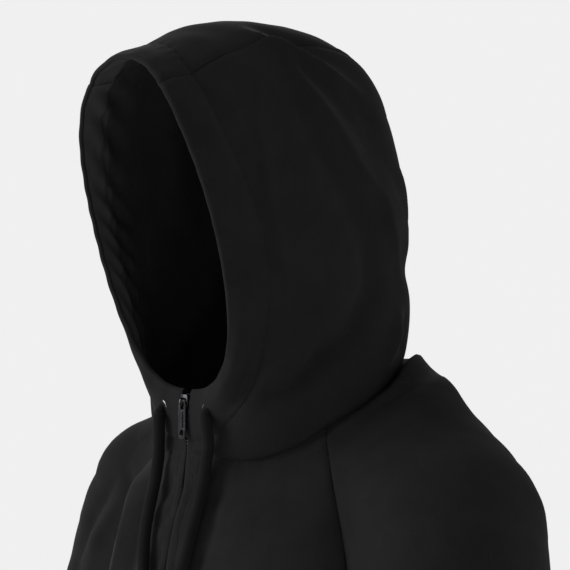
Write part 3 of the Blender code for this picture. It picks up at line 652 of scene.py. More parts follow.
def sleeveSections(rows):
    rows = np.asarray(rows, float)
    at = yoke.at(np.clip(rows, 0, 1))
    front, back, ridge = (
        np.stack([at[k + axis] for axis in "XYZ"], axis=-1) for k in ("front", "back", "ridge"))
    sweep = np.radians(at["sweep"])[:, None]
    chord = (front + back) / 2
    breadth = (back - front) / 2 / np.sin(sweep)
    outward = (ridge - chord) / (1 - np.cos(sweep))
    middle = chord - outward * np.cos(sweep)
    below = arm.at(rows)
    nudge = 0.02
    inside = np.clip(rows, 1 + nudge, 2 - nudge)
    after, before = arm.at(inside + nudge), arm.at(inside - nudge)
    axis = unit(np.stack([after[k] - before[k] for k in "xyz"], axis=-1))
    outWay = unit(np.cross(np.array([0.0, 1.0, 0.0]), -axis))
    backWay = np.cross(outWay, axis)
    backWay *= np.sign(backWay[:, 1:2])
    isArm = (rows > 1)[:, None]
    middle = np.where(isArm, np.stack([below[k] for k in "xyz"], axis=-1), middle)
    breadth = np.where(isArm, below["breadth"][:, None] * backWay, breadth)
    outward = np.where(isArm, below["width"][:, None] * outWay, outward)
    return middle, breadth, outward, sweep


def sleeveGrid(rows, columns):
    middle, breadth, outward, sweep = sleeveSections(rows)
    turn = sweep * 180 / 179 * np.linspace(-1, 1, columns + 1)[None, :]
    grid = (
        middle[:, None, :]
        + breadth[:, None, :] * np.sin(turn)[..., None]
        + outward[:, None, :] * np.cos(turn)[..., None]
    )
    atNeck = neckPoint(np.linspace(neck["frontRaglan"], neck["backRaglan"], columns + 1))
    fade = 1 - smoothStep(np.asarray(rows) / 0.35)
    return grid + fade[:, None, None] * (atNeck - grid[0])[None]


def panelGrid(rows, columns, centreY, centreZ, seam, sweep, roundness, angles):
    dense = np.linspace(0, 1, 401)
    turn = np.radians(sweep)[:, None] * dense[None, :]
    last = turn[:, -1:]
    n = (2 / roundness)[:, None]
    across = power(np.sin(turn), n) / power(np.sin(last), n)
    roundOff = (1 - power(np.cos(turn), n)) / (1 - power(np.cos(last), n))
    x = seam[:, :1] * across
    y = centreY[:, None] + (seam[:, 1:2] - centreY[:, None]) * roundOff
    z = centreZ[:, None] + (seam[:, 2:3] - centreZ[:, None]) * dense[None, :] ** 2
    curves = np.stack([x, y, z], axis=-1)
    grid = evenly(curves, np.repeat(np.linspace(0, 1, columns + 1)[None, :], len(rows), axis=0))
    fade = 1 - smoothStep(rows / 0.5)
    return grid + fade[:, None, None] * (neckPoint(angles) - grid[0])[None]


def raglanAndSide(rows, at, side, seamColumns):
    raglan = sleeveGrid(np.clip(rows, 0, 1), seamColumns)[:, side]
    sideSeam = np.stack([at[k] for k in ("sideX", "sideY", "sideZ")], axis=-1)
    underarm = sleeveGrid(np.array([1.0]), seamColumns)[0, side]
    one = trunk.at(1.0)
    offset = underarm - np.array([one["sideX"], one["sideY"], one["sideZ"]])
    sideSeam = sideSeam + (1 - smoothStep((rows - 1) / 0.3))[:, None] * offset
    return np.where((rows <= 1)[:, None], raglan, sideSeam)


def frontGrid(rows, columns):
    at = trunk.at(rows)
    seam = raglanAndSide(rows, at, 0, 16)
    angles = np.linspace(0, neck["frontRaglan"], columns + 1)
    grid = panelGrid(rows, columns, at["frontY"], at["frontZ"], seam, at["frontSweep"], at["round"], angles)
    gap = zipGap(grid[:, :1, 2])
    grid[..., 0] += gap * np.clip(1 - grid[..., 0] / 40, 0, 1)
    return grid


def backGrid(rows, columns):
    at = trunk.at(rows)
    seam = raglanAndSide(rows, at, -1, 16)
    angles = np.linspace(180, neck["backRaglan"], columns + 1)
    left = panelGrid(rows, columns, at["backY"], at["backZ"], seam, at["backSweep"], at["round"], angles)
    return np.concatenate([left[:, ::-1], mirrored(left[:, 1:])], axis=1)


# Folds: a bell across the path through its points. Height and width are in mm; a height above 0 is a
# ridge and one below it a trough, and a crest below 2 is sharper.

hoodFolds = (
    # the wearer's left
    ("ridge over the crown", 9.0, 6.5, 1.25, (
        (33, -53, 320), (41, -47, 316), (50, -30, 309), (58, -16, 302), (63, -5, 295), (70, 10, 284),
        (75, 26, 273), (78, 36, 264))),
    ("swell at the back", 4.5, 26, 2.0, ((92, 66, 205), (93, 70, 180), (90, 74, 158))),
    ("swell behind the crown", 6.0, 28, 2.0, ((36, 42, 312), (60, 52, 285), (76, 58, 250))),
    ("pinch above the nape", -5.5, 20, 2.0, ((100, 50, 128), (90, 76, 118), (60, 96, 116))),
    ("valley behind it", -6.0, 10, 1.8, (
        (26, -38, 328), (38, -20, 321), (46, -4, 313), (54, 10, 304), (60, 26, 293))),
    ("hollow between the ridges", -3.5, 9, 2.0, (
        (64, -30, 296), (76, -12, 281), (85, 2, 265), (92, 20, 240), (96, 38, 208))),
    ("long side ridge", 5.6, 7.5, 1.3, (
        (44, -35, 314), (68, -29, 288), (88, -8, 249), (99, 18, 201), (101, 40, 178), (101, 48, 156),
        (97, 60, 129), (94, 68, 104))),
    ("valley beside the long ridge", -4.6, 13, 2.0, (
        (64, -50, 285), (78, -40, 262), (92, -26, 228), (100, -10, 196), (104, 8, 160), (103, 22, 130))),
    ("valley behind the long ridge", -4.5, 12, 2.0, (
        (72, 20, 272), (90, 40, 232), (95, 62, 190), (92, 75, 150))),
    ("ridge behind the casing", 1.8, 7, 2.0, (
        (84, -86, 250), (93, -85, 205), (98, -79, 160), (98, -73, 130), (96, -66, 96))),
    ("dip behind the casing", -2.4, 14, 2.0, ((30, -112, 312), (60, -105, 295), (80, -95, 260))),
    ("sweep to the chin", -9.5, 13, 1.9, (
        (103, 20, 130), (101, 23, 106), (100, 12, 82), (99.8, -2, 64), (98.5, -26, 49), (94.6, -43, 30),
        (88, -59, 18), (77, -75, 14))),
    ("crease above the collar", -5.0, 6, 1.6, (
        (99, -22, 53), (97, -36, 38), (93, -49, 27), (87, -61, 20), (79, -72, 16))),
    ("swell above the sweep", 2.6, 15, 2.0, ((103, -16, 108), (101, -28, 84), (96, -49, 60), (88, -66, 46))),
    ("fold at the jaw", -6.0, 8, 1.8, ((77.4, -81.7, 52), (71, -83, 32), (61, -86.5, 15), (50, -91, 5))),
    ("roll at the nape", 6.0, 7, 1.8, ((96, 62, 80), (95, 60, 62), (96, 53, 50), (97, 46, 38))),
    ("slit at the nape", -4.0, 6, 1.8, ((90, 74, 82), (88, 74, 62), (88, 70, 46))),
    ("flat of the crown", -2.5, 15, 2.0, ((5, -110, 322), (18, -92, 320), (36, -82, 312))),
    # the wearer's right
    ("right swell at the back", 4.0, 26, 2.0, ((-92, 66, 205), (-93, 70, 180), (-90, 74, 158))),
    ("swell behind the right crown", 5.0, 28, 2.0, ((-36, 42, 312), (-60, 52, 285), (-76, 58, 250))),
    ("pinch above the right nape", -4.5, 20, 2.0, ((-100, 50, 128), (-90, 76, 118), (-60, 96, 116))),
    ("ridge over the right crown", 4.5, 8, 1.5, (
        (-12, -30, 332), (-34, -14, 322), (-50, 12, 304), (-62, 44, 276))),
    ("long right ridge", 3.4, 11, 1.7, (
        (-48, -28, 312), (-78, -16, 272), (-96, 6, 214), (-101, 36, 168), (-96, 62, 120))),
    ("valley beside the right ridge", -2.4, 14, 2.0, ((-62, -58, 290), (-88, -40, 240), (-101, -10, 160))),
    ("dip behind the right casing", -2.4, 14, 2.0, ((-30, -114, 312), (-62, -104, 292), (-82, -94, 250))),
    ("right sweep to the chin", -4.4, 14, 2.0, (
        (-102, 30, 130), (-102, 8, 84), (-98, -34, 42), (-80, -72, 18))),
    ("right roll at the nape", 4.0, 8, 1.8, ((-94, 66, 84), (-95, 58, 58), (-97, 46, 38))),
    ("right slit at the nape", -3.5, 7, 1.8, ((-88, 76, 84), (-87, 73, 60), (-87, 69, 45))),
    # the back
    ("upper fold at the nape", 3.2, 12, 1.8, (
        (72, 96, 130), (30, 116, 112), (-24, 118, 116), (-70, 98, 128))),
    ("lower fold at the nape", 3.6, 10, 1.8, ((60, 103, 84), (10, 118, 72), (-40, 114, 80), (-76, 92, 92))),
    ("valley between the nape folds", -3.0, 11, 2.0, ((66, 100, 106), (12, 118, 93), (-60, 104, 102))),
)
bodyFolds = (
    # the wearer's left
    ("roll round the neck", 17.5, 14, 1.7, (
        (104, 52, 19), (97, 70, 24), (84, 89, 30), (65, 106, 36), (44, 120, 40))),
    ("hollow beside the neck", -6.5, 12, 2.0, (
        (112, 102, 29), (121, 105, 22), (132, 106, 11), (149, 104, -3))),
    ("roll behind the neck", 10.0, 15, 2.0, (
        (56, 118, 38), (30, 130, 40), (0, 134, 41), (-30, 130, 40), (-56, 118, 38))),
    ("back of the shoulder", 8.5, 26, 2.0, ((200, 101, -48), (224, 97, -78), (240, 92, -108))),
    ("swell under the neck seam", 8.0, 9, 2.0, (
        (92, -45, -28), (101, -24, -22), (108, -2, -12), (109, 20, -2), (110, 38, 8), (111, 50, 14))),
    ("front of the shoulder", 8.0, 40, 2.0, ((150, -30, -28), (192, -32, -62), (222, -18, -110))),
    ("underarm drag", -5.0, 12, 1.8, ((172, -25, -205), (195, -38, -192), (232, -38, -160))),
    ("second underarm drag", -3.5, 11, 2.0, ((176, -30, -240), (204, -40, -228), (240, -34, -206))),
    ("long sleeve fold", 3.0, 14, 2.0, ((238, -36, -190), (262, -24, -270), (284, -6, -350))),
    ("elbow fold", -5.0, 13, 1.8, ((235, 10, -420), (268, -24, -415), (304, 10, -400))),
    ("upper elbow fold", -4.0, 12, 2.0, ((228, 4, -376), (262, -28, -372), (296, -6, -348))),
    ("elbow ridge", 4.0, 10, 1.8, ((232, 6, -398), (266, -28, -394), (300, 2, -374))),
    ("forearm fold", 4.0, 12, 2.0, ((238, 14, -470), (272, -20, -458), (312, 16, -446))),
    ("stack above the cuff", 4.5, 9, 1.8, (
        (246, 14, -548), (282, -42, -552), (340, -6, -542), (330, 44, -548))),
    ("valley above the stack", -3.5, 9, 2.0, ((246, 6, -524), (286, -42, -522), (338, 4, -520))),
    ("waist fold", 4.0, 20, 2.0, ((60, -128, -520), (120, -112, -545), (160, -30, -560))),
    ("upper waist fold", -3.0, 16, 2.0, ((70, -132, -470), (130, -108, -498), (168, -20, -520))),
    ("shadow beside the cord", -3.0, 6, 2.0, (
        (46, -90, -14), (43, -92, -45), (43, -98, -75), (45, -107, -104), (42, -115, -135))),
    # the wearer's right
    ("right roll round the neck", 19.0, 14, 1.8, (
        (-108, 54, 17), (-101, 72, 22), (-88, 91, 28), (-69, 108, 34), (-46, 123, 38))),
    ("top of the right shoulder in front", 13.0, 34, 2.0, (
        (-150, -4, -22), (-184, -10, -42), (-212, -24, -74))),
    ("back of the right shoulder", 10.0, 28, 2.0, ((-212, 100, -62), (-236, 94, -98), (-246, 88, -132))),
    ("swell under the right neck seam", 8.0, 9, 2.0, (
        (-92, -45, -28), (-101, -24, -22), (-108, -2, -12), (-109, 20, -2), (-110, 38, 8))),
    ("front of the right shoulder", 8.0, 40, 2.0, ((-165, -30, -40), (-200, -32, -75), (-222, -18, -120))),
    ("chest ridge", 8.0, 11, 1.5, (
        (-120, -50, -60), (-98, -74, -80), (-80, -93, -104), (-78, -102, -128), (-82, -107, -150),
        (-88, -109, -190))),
    ("valley by the zip", -6.5, 9, 1.8, (
        (-88, -64, -56), (-66, -90, -80), (-56, -104, -106), (-56, -112, -135), (-60, -118, -180))),
    ("valley by the raglan", -6.5, 8, 1.8, (
        (-160, -30, -66), (-142, -44, -92), (-128, -66, -120), (-124, -80, -160))),
    ("crease to the underarm", -7.5, 6, 1.5, (
        (-172, -34, -78), (-188, -38, -97), (-200, -41, -111), (-211, -43, -132), (-222, -41, -154))),
    ("ridge beside the crease", 5.0, 8, 1.7, (
        (-160, -36, -92), (-176, -42, -112), (-190, -44, -134), (-200, -42, -160))),
    ("right underarm drag", -5.0, 12, 1.8, ((-170, -30, -200), (-196, -42, -185), (-228, -40, -150))),
    ("long right sleeve fold", 3.0, 14, 2.0, ((-236, -36, -200), (-258, -24, -285), (-280, -6, -360))),
    ("right elbow fold", -4.5, 14, 1.8, ((-232, 12, -430), (-266, -22, -420), (-302, 12, -410))),
    ("upper right elbow fold", -4.0, 12, 2.0, ((-228, 2, -386), (-260, -28, -380), (-296, -4, -362))),
    ("right elbow ridge", 4.0, 10, 1.8, ((-230, 8, -408), (-264, -28, -402), (-300, 4, -386))),
    ("right forearm fold", 4.0, 12, 2.0, ((-240, 16, -478), (-274, -20, -470), (-314, 14, -452))),
    ("stack above the right cuff", 4.5, 9, 1.8, (
        (-246, 12, -545), (-282, -42, -550), (-340, -8, -545), (-332, 42, -550))),
    ("right waist fold", 4.0, 22, 2.0, ((-50, -130, -535), (-118, -114, -550), (-160, -30, -572))),
    ("upper right waist fold", -3.0, 16, 2.0, ((-60, -134, -480), (-124, -112, -505), (-168, -24, -530))),
    # the back and the backs of the sleeves
    ("fold across the shoulders", -4.0, 24, 2.0, (
        (118, 130, -60), (50, 150, -96), (-40, 152, -92), (-120, 130, -66))),
    ("drape from the left arm", 4.0, 20, 2.0, ((150, 100, -180), (110, 140, -250), (60, 150, -330))),
    ("drape from the right arm", 4.0, 20, 2.0, ((-150, 100, -190), (-116, 138, -262), (-70, 149, -350))),
    ("left fold at the back waist", 4.5, 16, 1.9, ((158, 70, -520), (90, 132, -545), (10, 142, -560))),
    ("right fold at the back waist", 4.0, 15, 1.9, ((-160, 60, -500), (-110, 126, -528), (-30, 142, -538))),
    ("back of the left elbow", 4.0, 14, 2.0, ((236, 70, -400), (270, 92, -410), (310, 60, -420))),
    ("back of the right elbow", 4.0, 14, 2.0, ((-236, 70, -410), (-268, 92, -418), (-308, 60, -430))),
    ("left fold behind the arm", -4.0, 14, 2.0, ((180, 90, -215), (214, 110, -200), (250, 100, -180))),
    ("right fold behind the arm", -4.0, 14, 2.0, ((-180, 90, -220), (-212, 110, -208), (-248, 100, -190))),
)


def foldHeights(points, folds):
    height = np.zeros(points.shape[:-1])
    for _, rise, width, crest, line in folds:
        path = smoothLine(line, 49)
        low = path.min(axis=0) - 3 * width
        high = path.max(axis=0) + 3 * width
        near = ((points > low) & (points < high)).all(axis=-1)
        if not near.any():
            continue
        gap = np.linalg.norm(points[near][:, None, :] - path, axis=-1)
        along = gap.argmin(axis=-1) / (len(path) - 1)
        fade = np.sin(np.pi * np.clip(0.06 + 0.88 * along, 0, 1)) ** 0.6
        height[near] += rise * np.exp(-((gap.min(axis=-1) / width) ** crest)) * fade
    return height


def neckFade(points):
    # 0 on the neck seam, where the panels have to meet, and 1 away from it
    ring = neckPoint(np.linspace(-180, 180, 145))
    gap = np.full(points.shape[:-1], 1e3)
    near = (np.abs(points[..., 2]) < 90) & (np.hypot(points[..., 0], points[..., 1] - 5) < 150)
    gap[near] = np.linalg.norm(points[near][:, None, :] - ring, axis=-1).min(axis=-1)
    return smoothStep((gap - 1) / 16)


def ripple(points, size, seed):
    # soft unevenness from a few fixed waves, about -1 to 1
    chance = np.random.default_rng(seed)
    total = np.zeros(points.shape[:-1])
    for k in range(9):
        way = unit(chance.normal(size=3))
        pitch = size * chance.uniform(0.7, 1.6)
        total += np.sin(points @ way * (2 * np.pi / pitch) + chance.uniform(0, 6.28))
    return total / 4.5


def sharedNormals(grids):
    # panels that meet at a seam get the same normals there
    normals = {}
    near = 0.05
    borders = []
    for name, grid in grids.items():
        side = panelSides[name]
        normals[name] = unit(side * np.cross(np.gradient(grid, axis=0), np.gradient(grid, axis=1)))
        rows, columns = grid.shape[:2]
        for i in range(rows):
            isEnd = i in (0, rows - 1)
            borders += [(name, i, j) for j in (range(columns) if isEnd else (0, columns - 1))]
    points = np.array([grids[name][i, j] for name, i, j in borders])
    values = np.array([normals[name][i, j] for name, i, j in borders])
    order = np.argsort(points[:, 2])
    heights = points[order, 2]
    for k, (name, i, j) in enumerate(borders):
        first, last = np.searchsorted(heights, (points[k, 2] - near, points[k, 2] + near))
        some = order[first:last]
        touching = np.linalg.norm(points[some] - points[k], axis=1) < near
        touching &= values[some] @ values[k] > 0
        normals[name][i, j] = unit(values[some][touching].sum(axis=0))
    return normals


panelSides = {
    "frontLeft": 1, "frontRight": -1, "back": 1, "sleeveLeft": 1, "sleeveRight": -1,
    "hoodSideLeft": 1, "hoodSideRight": -1, "hoodCentre": 1,
}


def edgeRuns(grid):
    # mm from the first row, last row, first column and last column, along the grid
    down, across = runAlong(grid, 0), runAlong(grid, 1)
    return down, down[-1] - down, across, across[:, -1:] - across


def squareOff(edge, inner):
    way = inner - edge
    run = unit(np.gradient(edge, axis=0))
    return unit(way - (way * run).sum(axis=-1, keepdims=True) * run)


def pulledIn(points, reference, gaps):
    out = points.copy()
    out[0] += gaps[0] * squareOff(reference[0], reference[1])
    out[-1] += gaps[1] * squareOff(reference[-1], reference[-2])
    out[:, 0] += gaps[2] * squareOff(reference[:, 0], reference[:, 1])
    out[:, -1] += gaps[3] * squareOff(reference[:, -1], reference[:, -2])
    return out


# Closed cloth pieces

def smoothObject(name, data, sharp):
    data.shade_smooth()
    data.set_sharp_from_angle(angle=math.radians(sharp))
    return newObject(name, data)


def rimLines(outerEdge, innerEdge, beyond, steps, bulge):
    # lines of points that turn from the outer edge round to the inner one
    middle = (outerEdge + innerEdge) / 2
    half = (outerEdge - innerEdge) / 2
    reach = np.linalg.norm(half, axis=-1, keepdims=True) * bulge
    turns = np.pi * np.arange(1, steps) / steps
    return [middle + half * math.cos(t) + beyond * reach * math.sin(t) for t in turns]


class ClothMesh:
    # a closed wall between two grids; each border is flat, or round where the cloth is turned over

    def __init__(self, outer, inner, side, rims=(0, 0, 0, 0), wrap=False, bulge=1.0):
        self.rowFaces = outer.shape[1] - 1
        self.points = [outer.reshape(-1, 3), inner.reshape(-1, 3)]
        self.count = outer.shape[0] * outer.shape[1] * 2
        self.faces = []
        rows, columns = outer.shape[:2]
        top = np.arange(rows * columns).reshape(rows, columns)
        under = top + rows * columns
        self.addGrid(top, side, wrap)
        self.outsideFaces = len(self.faces)
        self.addGrid(under, -side, wrap)
        self.insideFaces = len(self.faces)
        # first and last row, then first and last column; each with the line next to it
        every = slice(None)
        borders = [(0, 1, -side), (-1, -2, side), ((every, 0), (every, 1), side),
                   ((every, -1), (every, -2), -side)]
        if wrap:
            borders = borders[:2]
        for (edge, beside, way), steps in zip(borders, rims):
            lines = [top[edge]]
            if steps:
                beyond = unit(outer[edge] - outer[beside])
                for points in rimLines(outer[edge], inner[edge], beyond, steps, bulge):
                    lines.append(self.count + np.arange(len(points)))
                    self.points.append(points)
                    self.count += len(points)
            lines.append(under[edge])
            strip = np.array(lines)
            self.addGrid(strip, way, wrap)
            if steps and not wrap:
                for end, turn in ((0, way), (-1, -way)):
                    corner = [int(v) for v in strip[:, end]]
                    self.faces.append(corner if turn > 0 else corner[::-1])

    def addGrid(self, index, way, wrap):
        after = np.roll(index, -1, axis=1) if wrap else index[:, 1:]
        here = index if wrap else index[:, :-1]
        quads = np.stack([here[:-1], here[1:], after[1:], after[:-1]], axis=-1).reshape(-1, 4)
        self.faces += (quads if way > 0 else quads[:, ::-1]).tolist()

    def toObject(self, name, material, inside=None, turned=None, turnedRows=0, sharp=60):
        data = bpy.data.meshes.new(name)
        data.from_pydata((np.concatenate(self.points) * mm).tolist(), [], self.faces)
        data.materials.append(material)
        if inside:
            data.materials.append(inside)
            slots = np.zeros(len(self.faces), int)
            slots[self.outsideFaces:self.insideFaces] = 1
            # the turned-in rows take the fleece painted lighter, as if lit
            if turned:  # the first rows inside are the turned-in right side of the cloth
                data.materials.append(turned)
                slots[self.outsideFaces:self.outsideFaces + turnedRows * self.rowFaces] = 2
            data.polygons.foreach_set("material_index", slots)
        return smoothObject(name, data, sharp)


def clothSize(grid):
    # mm across, mm down and square mm of a grid laid flat
    one = np.cross(grid[1:, :-1] - grid[:-1, :-1], grid[:-1, 1:] - grid[:-1, :-1])
    two = np.cross(grid[:-1, 1:] - grid[1:, 1:], grid[1:, :-1] - grid[1:, 1:])
    area = (np.linalg.norm(one, axis=-1) + np.linalg.norm(two, axis=-1)).sum() / 2
    return runAlong(grid, 1)[:, -1].max(), runAlong(grid)[-1].max(), area


# Relief laid on the panels

relief = {
    "seamDip": 1.3,  # mm that the cloth rolls down into a seam
    "seamDipWidth": 2.4,
    "pucker": 0.32,
    "puckerPitch": 8.5,
    "puckerWidth": 7,
    "swell": 0.9,  # broad unevenness
    "swellSize": 95,
    "crumple": 0.28,
    "crumpleSize": 26,
}


def seamRelief(distance, along, strength=1.0):
    dip = -relief["seamDip"] * strength * bell(distance, relief["seamDipWidth"])
    wave = relief["pucker"] * swaying(along, relief["puckerPitch"], 1.6, 17)
    return dip + wave * bell(distance, relief["puckerWidth"]) * np.clip(distance / 2, 0, 1)


atNeckSeam = 0.2  # share of the dip there


def softRelief(points, seed):
    broad = relief["swell"] * ripple(points, relief["swellSize"], seed)
    return broad + relief["crumple"] * ripple(points, relief["crumpleSize"], seed + 50)


def gathers(along, distance, depth, reach, pitch):
    wave = np.sin(2 * np.pi * along / pitch + 2.1 * np.sin(2 * np.pi * along / (pitch * 3.7)))
    wave += 0.5 * np.sin(2 * np.pi * along / (pitch * 0.47) + 1.3)
    return depth * wave * np.exp(-distance / reach) * smoothStep(distance / 5)


# Body

bodyCloth = {
    "frontColumns": 60,
    "backColumns": 60,  # each side of the middle
    "sleeveColumns": 128,
    "rowSteps": 6,
    "placket": 2.0,  # mm that the turned zip edge stands up
    "placketStitch": 9.5,
    "stitchDip": 0.45,
    "placketCrease": 1.0,
    "placketCreaseWidth": 52,
    "placketPucker": 0.25,
    "gatherDepth": 1.5,
    "gatherReach": 26,
    "gatherPitch": 21,
}
yokeRows = (0, 0.05, 0.12, 0.2, 0.3, 0.4, 0.5, 0.6, 0.7, 0.8, 0.87, 0.92, 0.96, 0.985, 1)
bodyRows = denser(yokeRows + (1.1, 1.2, 1.32, 1.45, 1.6, 1.75, 1.9, 2), bodyCloth["rowSteps"])
sleeveRows = denser(yokeRows + (1.08, 1.2, 1.32, 1.45, 1.58, 1.7, 1.8, 1.9, 2), bodyCloth["rowSteps"])
frontBase = frontGrid(bodyRows, bodyCloth["frontColumns"])
sleeveBase = sleeveGrid(sleeveRows, bodyCloth["sleeveColumns"])
bodyGrids = {
    "frontLeft": frontBase,
    "frontRight": mirrored(frontBase),
    "back": backGrid(bodyRows, bodyCloth["backColumns"]),
    "sleeveLeft": sleeveBase,
    "sleeveRight": mirrored(sleeveBase),
}


def easedAcross(grid, rows, level, reach=14, passes=60):
    # rounds the form off where the yoke goes over into the trunk and the arm; seams stay where they are
    at = int(np.argmin(np.abs(rows - level)))
    _, _, first, last = edgeRuns(grid)
    span = slice(at - reach, at + reach + 1)
    share = smoothStep(np.minimum(first, last)[span] / 30)
    share *= np.sin(np.linspace(0, np.pi, 2 * reach + 1))[:, None]
    out = grid.copy()
    for _ in range(passes):
        before, after = out[at - reach - 1:at + reach], out[at - reach + 1:at + reach + 2]
        out[span] = out[span] + share[..., None] * (0.25 * before + 0.25 * after - 0.5 * out[span])
    return out


for name, grid in bodyGrids.items():
    bodyGrids[name] = easedAcross(grid, sleeveRows if name.startswith("sleeve") else bodyRows, 1)
bodyNormals = sharedNormals(bodyGrids)
bodyHeights = {}
for seed, (name, grid) in enumerate(bodyGrids.items()):
    top, bottom, first, last = edgeRuns(grid)
    height = (foldHeights(grid, bodyFolds) + softRelief(grid, seed * 7 + 1)) * neckFade(grid)
    height += seamRelief(top, first, atNeckSeam) + seamRelief(bottom, first) + seamRelief(last, top)
    if name.startswith("front"):
        uneven = 0.65 + 0.35 * ripple(grid, 34, 700 + seed)
        height += bodyCloth["placket"] * bell(first - 4.5, 3.4) * smoothStep(top / 30) * uneven
        height -= bodyCloth["stitchDip"] * bell(first - bodyCloth["placketStitch"], 1.2) * uneven
        crease = ripple(grid * np.array([1, 1, 0.3]), 13, 720 + seed) + 0.5 * ripple(grid, 17, 740 + seed)
        crease *= bodyCloth["placketCrease"] * bell(first, bodyCloth["placketCreaseWidth"])
        height += crease * smoothStep(first / 5)
        height += bodyCloth["placketPucker"] * np.sin(top / 1.9 + 2 * np.sin(top / 23)) * bell(first - 8, 4)
    else:
        height += seamRelief(first, top)
    gather = (bodyCloth["gather" + k] for k in ("Depth", "Reach", "Pitch"))
    height += gathers(first + seed * 31, bottom, *gather)
    bodyHeights[name] = height
bodyOuter = {
    name: grid + bodyHeights[name][..., None] * bodyNormals[name] for name, grid in bodyGrids.items()}
print("body cloth shaped")

# Hood

hoodCloth = {
    "sideColumns": 108,
    "centreColumns": 42,
    "napeRows": 27,
    "rowSteps": 6,
    "casingWidth": 41,  # mm from the face edge to its stitching, at the cheek
    "casingAtCrown": 30,
    "casingWander": 0.9,  # how far its stitching strays
    "casingSwell": 1.6,
    "casingStep": 1.1,
    "stitchDip": 0.5,
    "stitchBeyond": 1.5,
    "stitchPucker": 0.3,
    "edgeWave": 0.35,
    "turnedIn": 24,  # depth of the turned-in cloth
    "turnedWander": 1.8,
    "tuck": 1.5,  # slanted gathers of the turned-in cloth
    "drape": 1.3,  # unevenness of the inside
}
hoodBases = denser(
    (-49, -42, -34, -21, -10, 0, 8, 16, *range(25, 116, 10), 124, 132, 140, 146, 152, 156),
    hoodCloth["rowSteps"],
)
sideBase = hoodSideGrid(hoodBases, np.linspace(0, 1, hoodCloth["sideColumns"] + 1))
hoodGrids = {
    "hoodSideLeft": sideBase,
    "hoodSideRight": mirrored(sideBase),
    "hoodCentre": hoodCentreGrid(hoodBases, hoodCloth["centreColumns"], hoodCloth["napeRows"]),
}
hoodNormals = sharedNormals(hoodGrids)
hoodOuter = {}
hoodInner = {}
casingLines = {}
for seed, (name, grid) in enumerate(hoodGrids.items()):
    down, up, first, last = edgeRuns(grid)
    fade = smoothStep(down / 12)
    height = foldHeights(grid, hoodFolds) + softRelief(grid, seed * 5 + 90)
    height = height * neckFade(grid) * (0.35 + 0.65 * fade)
    along = first[:1] + 0 * down
    isSide = name != "hoodCentre"
    narrowing = smoothStep((along / along.max() - 0.5) / 0.5) if isSide else 1
    joined = smoothStep(first / 14) * smoothStep(last / 14)  # panels agree where they meet
    casing = hoodCloth["casingWidth"] + (hoodCloth["casingAtCrown"] - hoodCloth["casingWidth"]) * narrowing
    casing = casing + hoodCloth["casingWander"] * np.sin(along / 23) * joined
    beyond = hoodCloth["stitchBeyond"]
    casingLines[name] = casing[0] + beyond
    inCasing = np.clip(down / casing, 0, 1)
    puff = hoodCloth["casingSwell"] * np.sin(np.pi * inCasing) ** 0.8 * (inCasing < 1)
    puff = puff + hoodCloth["casingStep"] * (1 - smoothStep((down - casing + beyond) / 3.5)) * fade
    height += puff
    height -= hoodCloth["stitchDip"] * bell(down - casing - beyond, 1.6)
    height += hoodCloth["stitchPucker"] * swaying(along, 10.5, 1.9, 19) * bell(down - casing, 9)
    height += hoodCloth["edgeWave"] * swaying(along, 24, 1.2, 31) * bell(down, 14)
    height += seamRelief(first, down, atNeckSeam if isSide else 1)
    height += seamRelief(last, down) + seamRelief(up, first, 1 if isSide else atNeckSeam)
    outer = grid + height[..., None] * hoodNormals[name]
    scallop = hoodCloth["turnedIn"] - 1.5 + hoodCloth["turnedWander"] * swaying(along, 37, 1.5, 41) * joined
    thick = cloth["casingWall"] - (cloth["casingWall"] - cloth["wall"]) * smoothStep((down - scallop) / 5)
    tuck = np.sin(2 * np.pi * (along + down * 0.8) / 27 + 1.7 * np.sin(along / 27))
    tuck *= hoodCloth["tuck"] * bell(down - scallop - 8, 20)
    drape = hoodCloth["drape"] * ripple(grid * np.array([1, 1, 0.7]), 60, 300 + seed)
    drape *= smoothStep((down - 34) / 20)
    thick = thick + puff + (tuck + np.abs(drape)) * smoothStep(down / 4) * smoothStep(up / 8) * joined
    hoodOuter[name] = outer
    hoodInner[name] = outer - thick[..., None] * hoodNormals[name]


def denseLine(line, steps=12):
    t = np.linspace(0, len(line) - 1, (len(line) - 1) * steps + 1)
    return np.stack([np.interp(t, np.arange(len(line)), line[:, k]) for k in range(3)], axis=-1)


neckLine = np.concatenate([denseLine(outer[0]) for outer in bodyOuter.values()])
joinWithin = 3  # mm from the body's neck edge
joinFade = 14
for name, outer in hoodOuter.items():  # the hood's lower edge is brought onto the body's neck edge
    _, up, first, _ = edgeRuns(outer)
    isCentre = name == "hoodCentre"
    edge = outer[-1] if isCentre else outer[:, 0]
    gap = neckLine[None] - edge[:, None]
    far = np.linalg.norm(gap, axis=-1)
    shift = gap[np.arange(len(edge)), far.argmin(axis=1)] * (far.min(axis=1) < joinWithin)[:, None]
    fade = 1 - smoothStep((up if isCentre else first) / joinFade)
    move = fade[..., None] * (shift[None] if isCentre else shift[:, None])
    hoodOuter[name] = outer + move
    hoodInner[name] = hoodInner[name] + move
print("hood shaped")

sheets = []  # each cloth piece, its cut and how it is held


def nodeOf(name):
    return "".join("_" + c.lower() if c.isupper() else c for c in name)


def addPanel(name, outer, inner, gaps, rims, bulge=1.0, turnedRows=0):
    nodeName = nodeOf(name)
    faces = [pulledIn(grid, outer, gaps) for grid in (outer, inner)]
    wall = ClothMesh(*faces, panelSides[name], rims, bulge=bulge)
    # the hood's turned-in rows get the fleece painted lighter, as if lit
    turned = fleeceTurnedPaintedLit if turnedRows else None
    item = wall.toObject(nodeName + "_cloth", fleece, fleeceInside, turned, turnedRows)
    sheets.append((fit(item, "fleece", nodeName), clothSize(outer), "hung"))


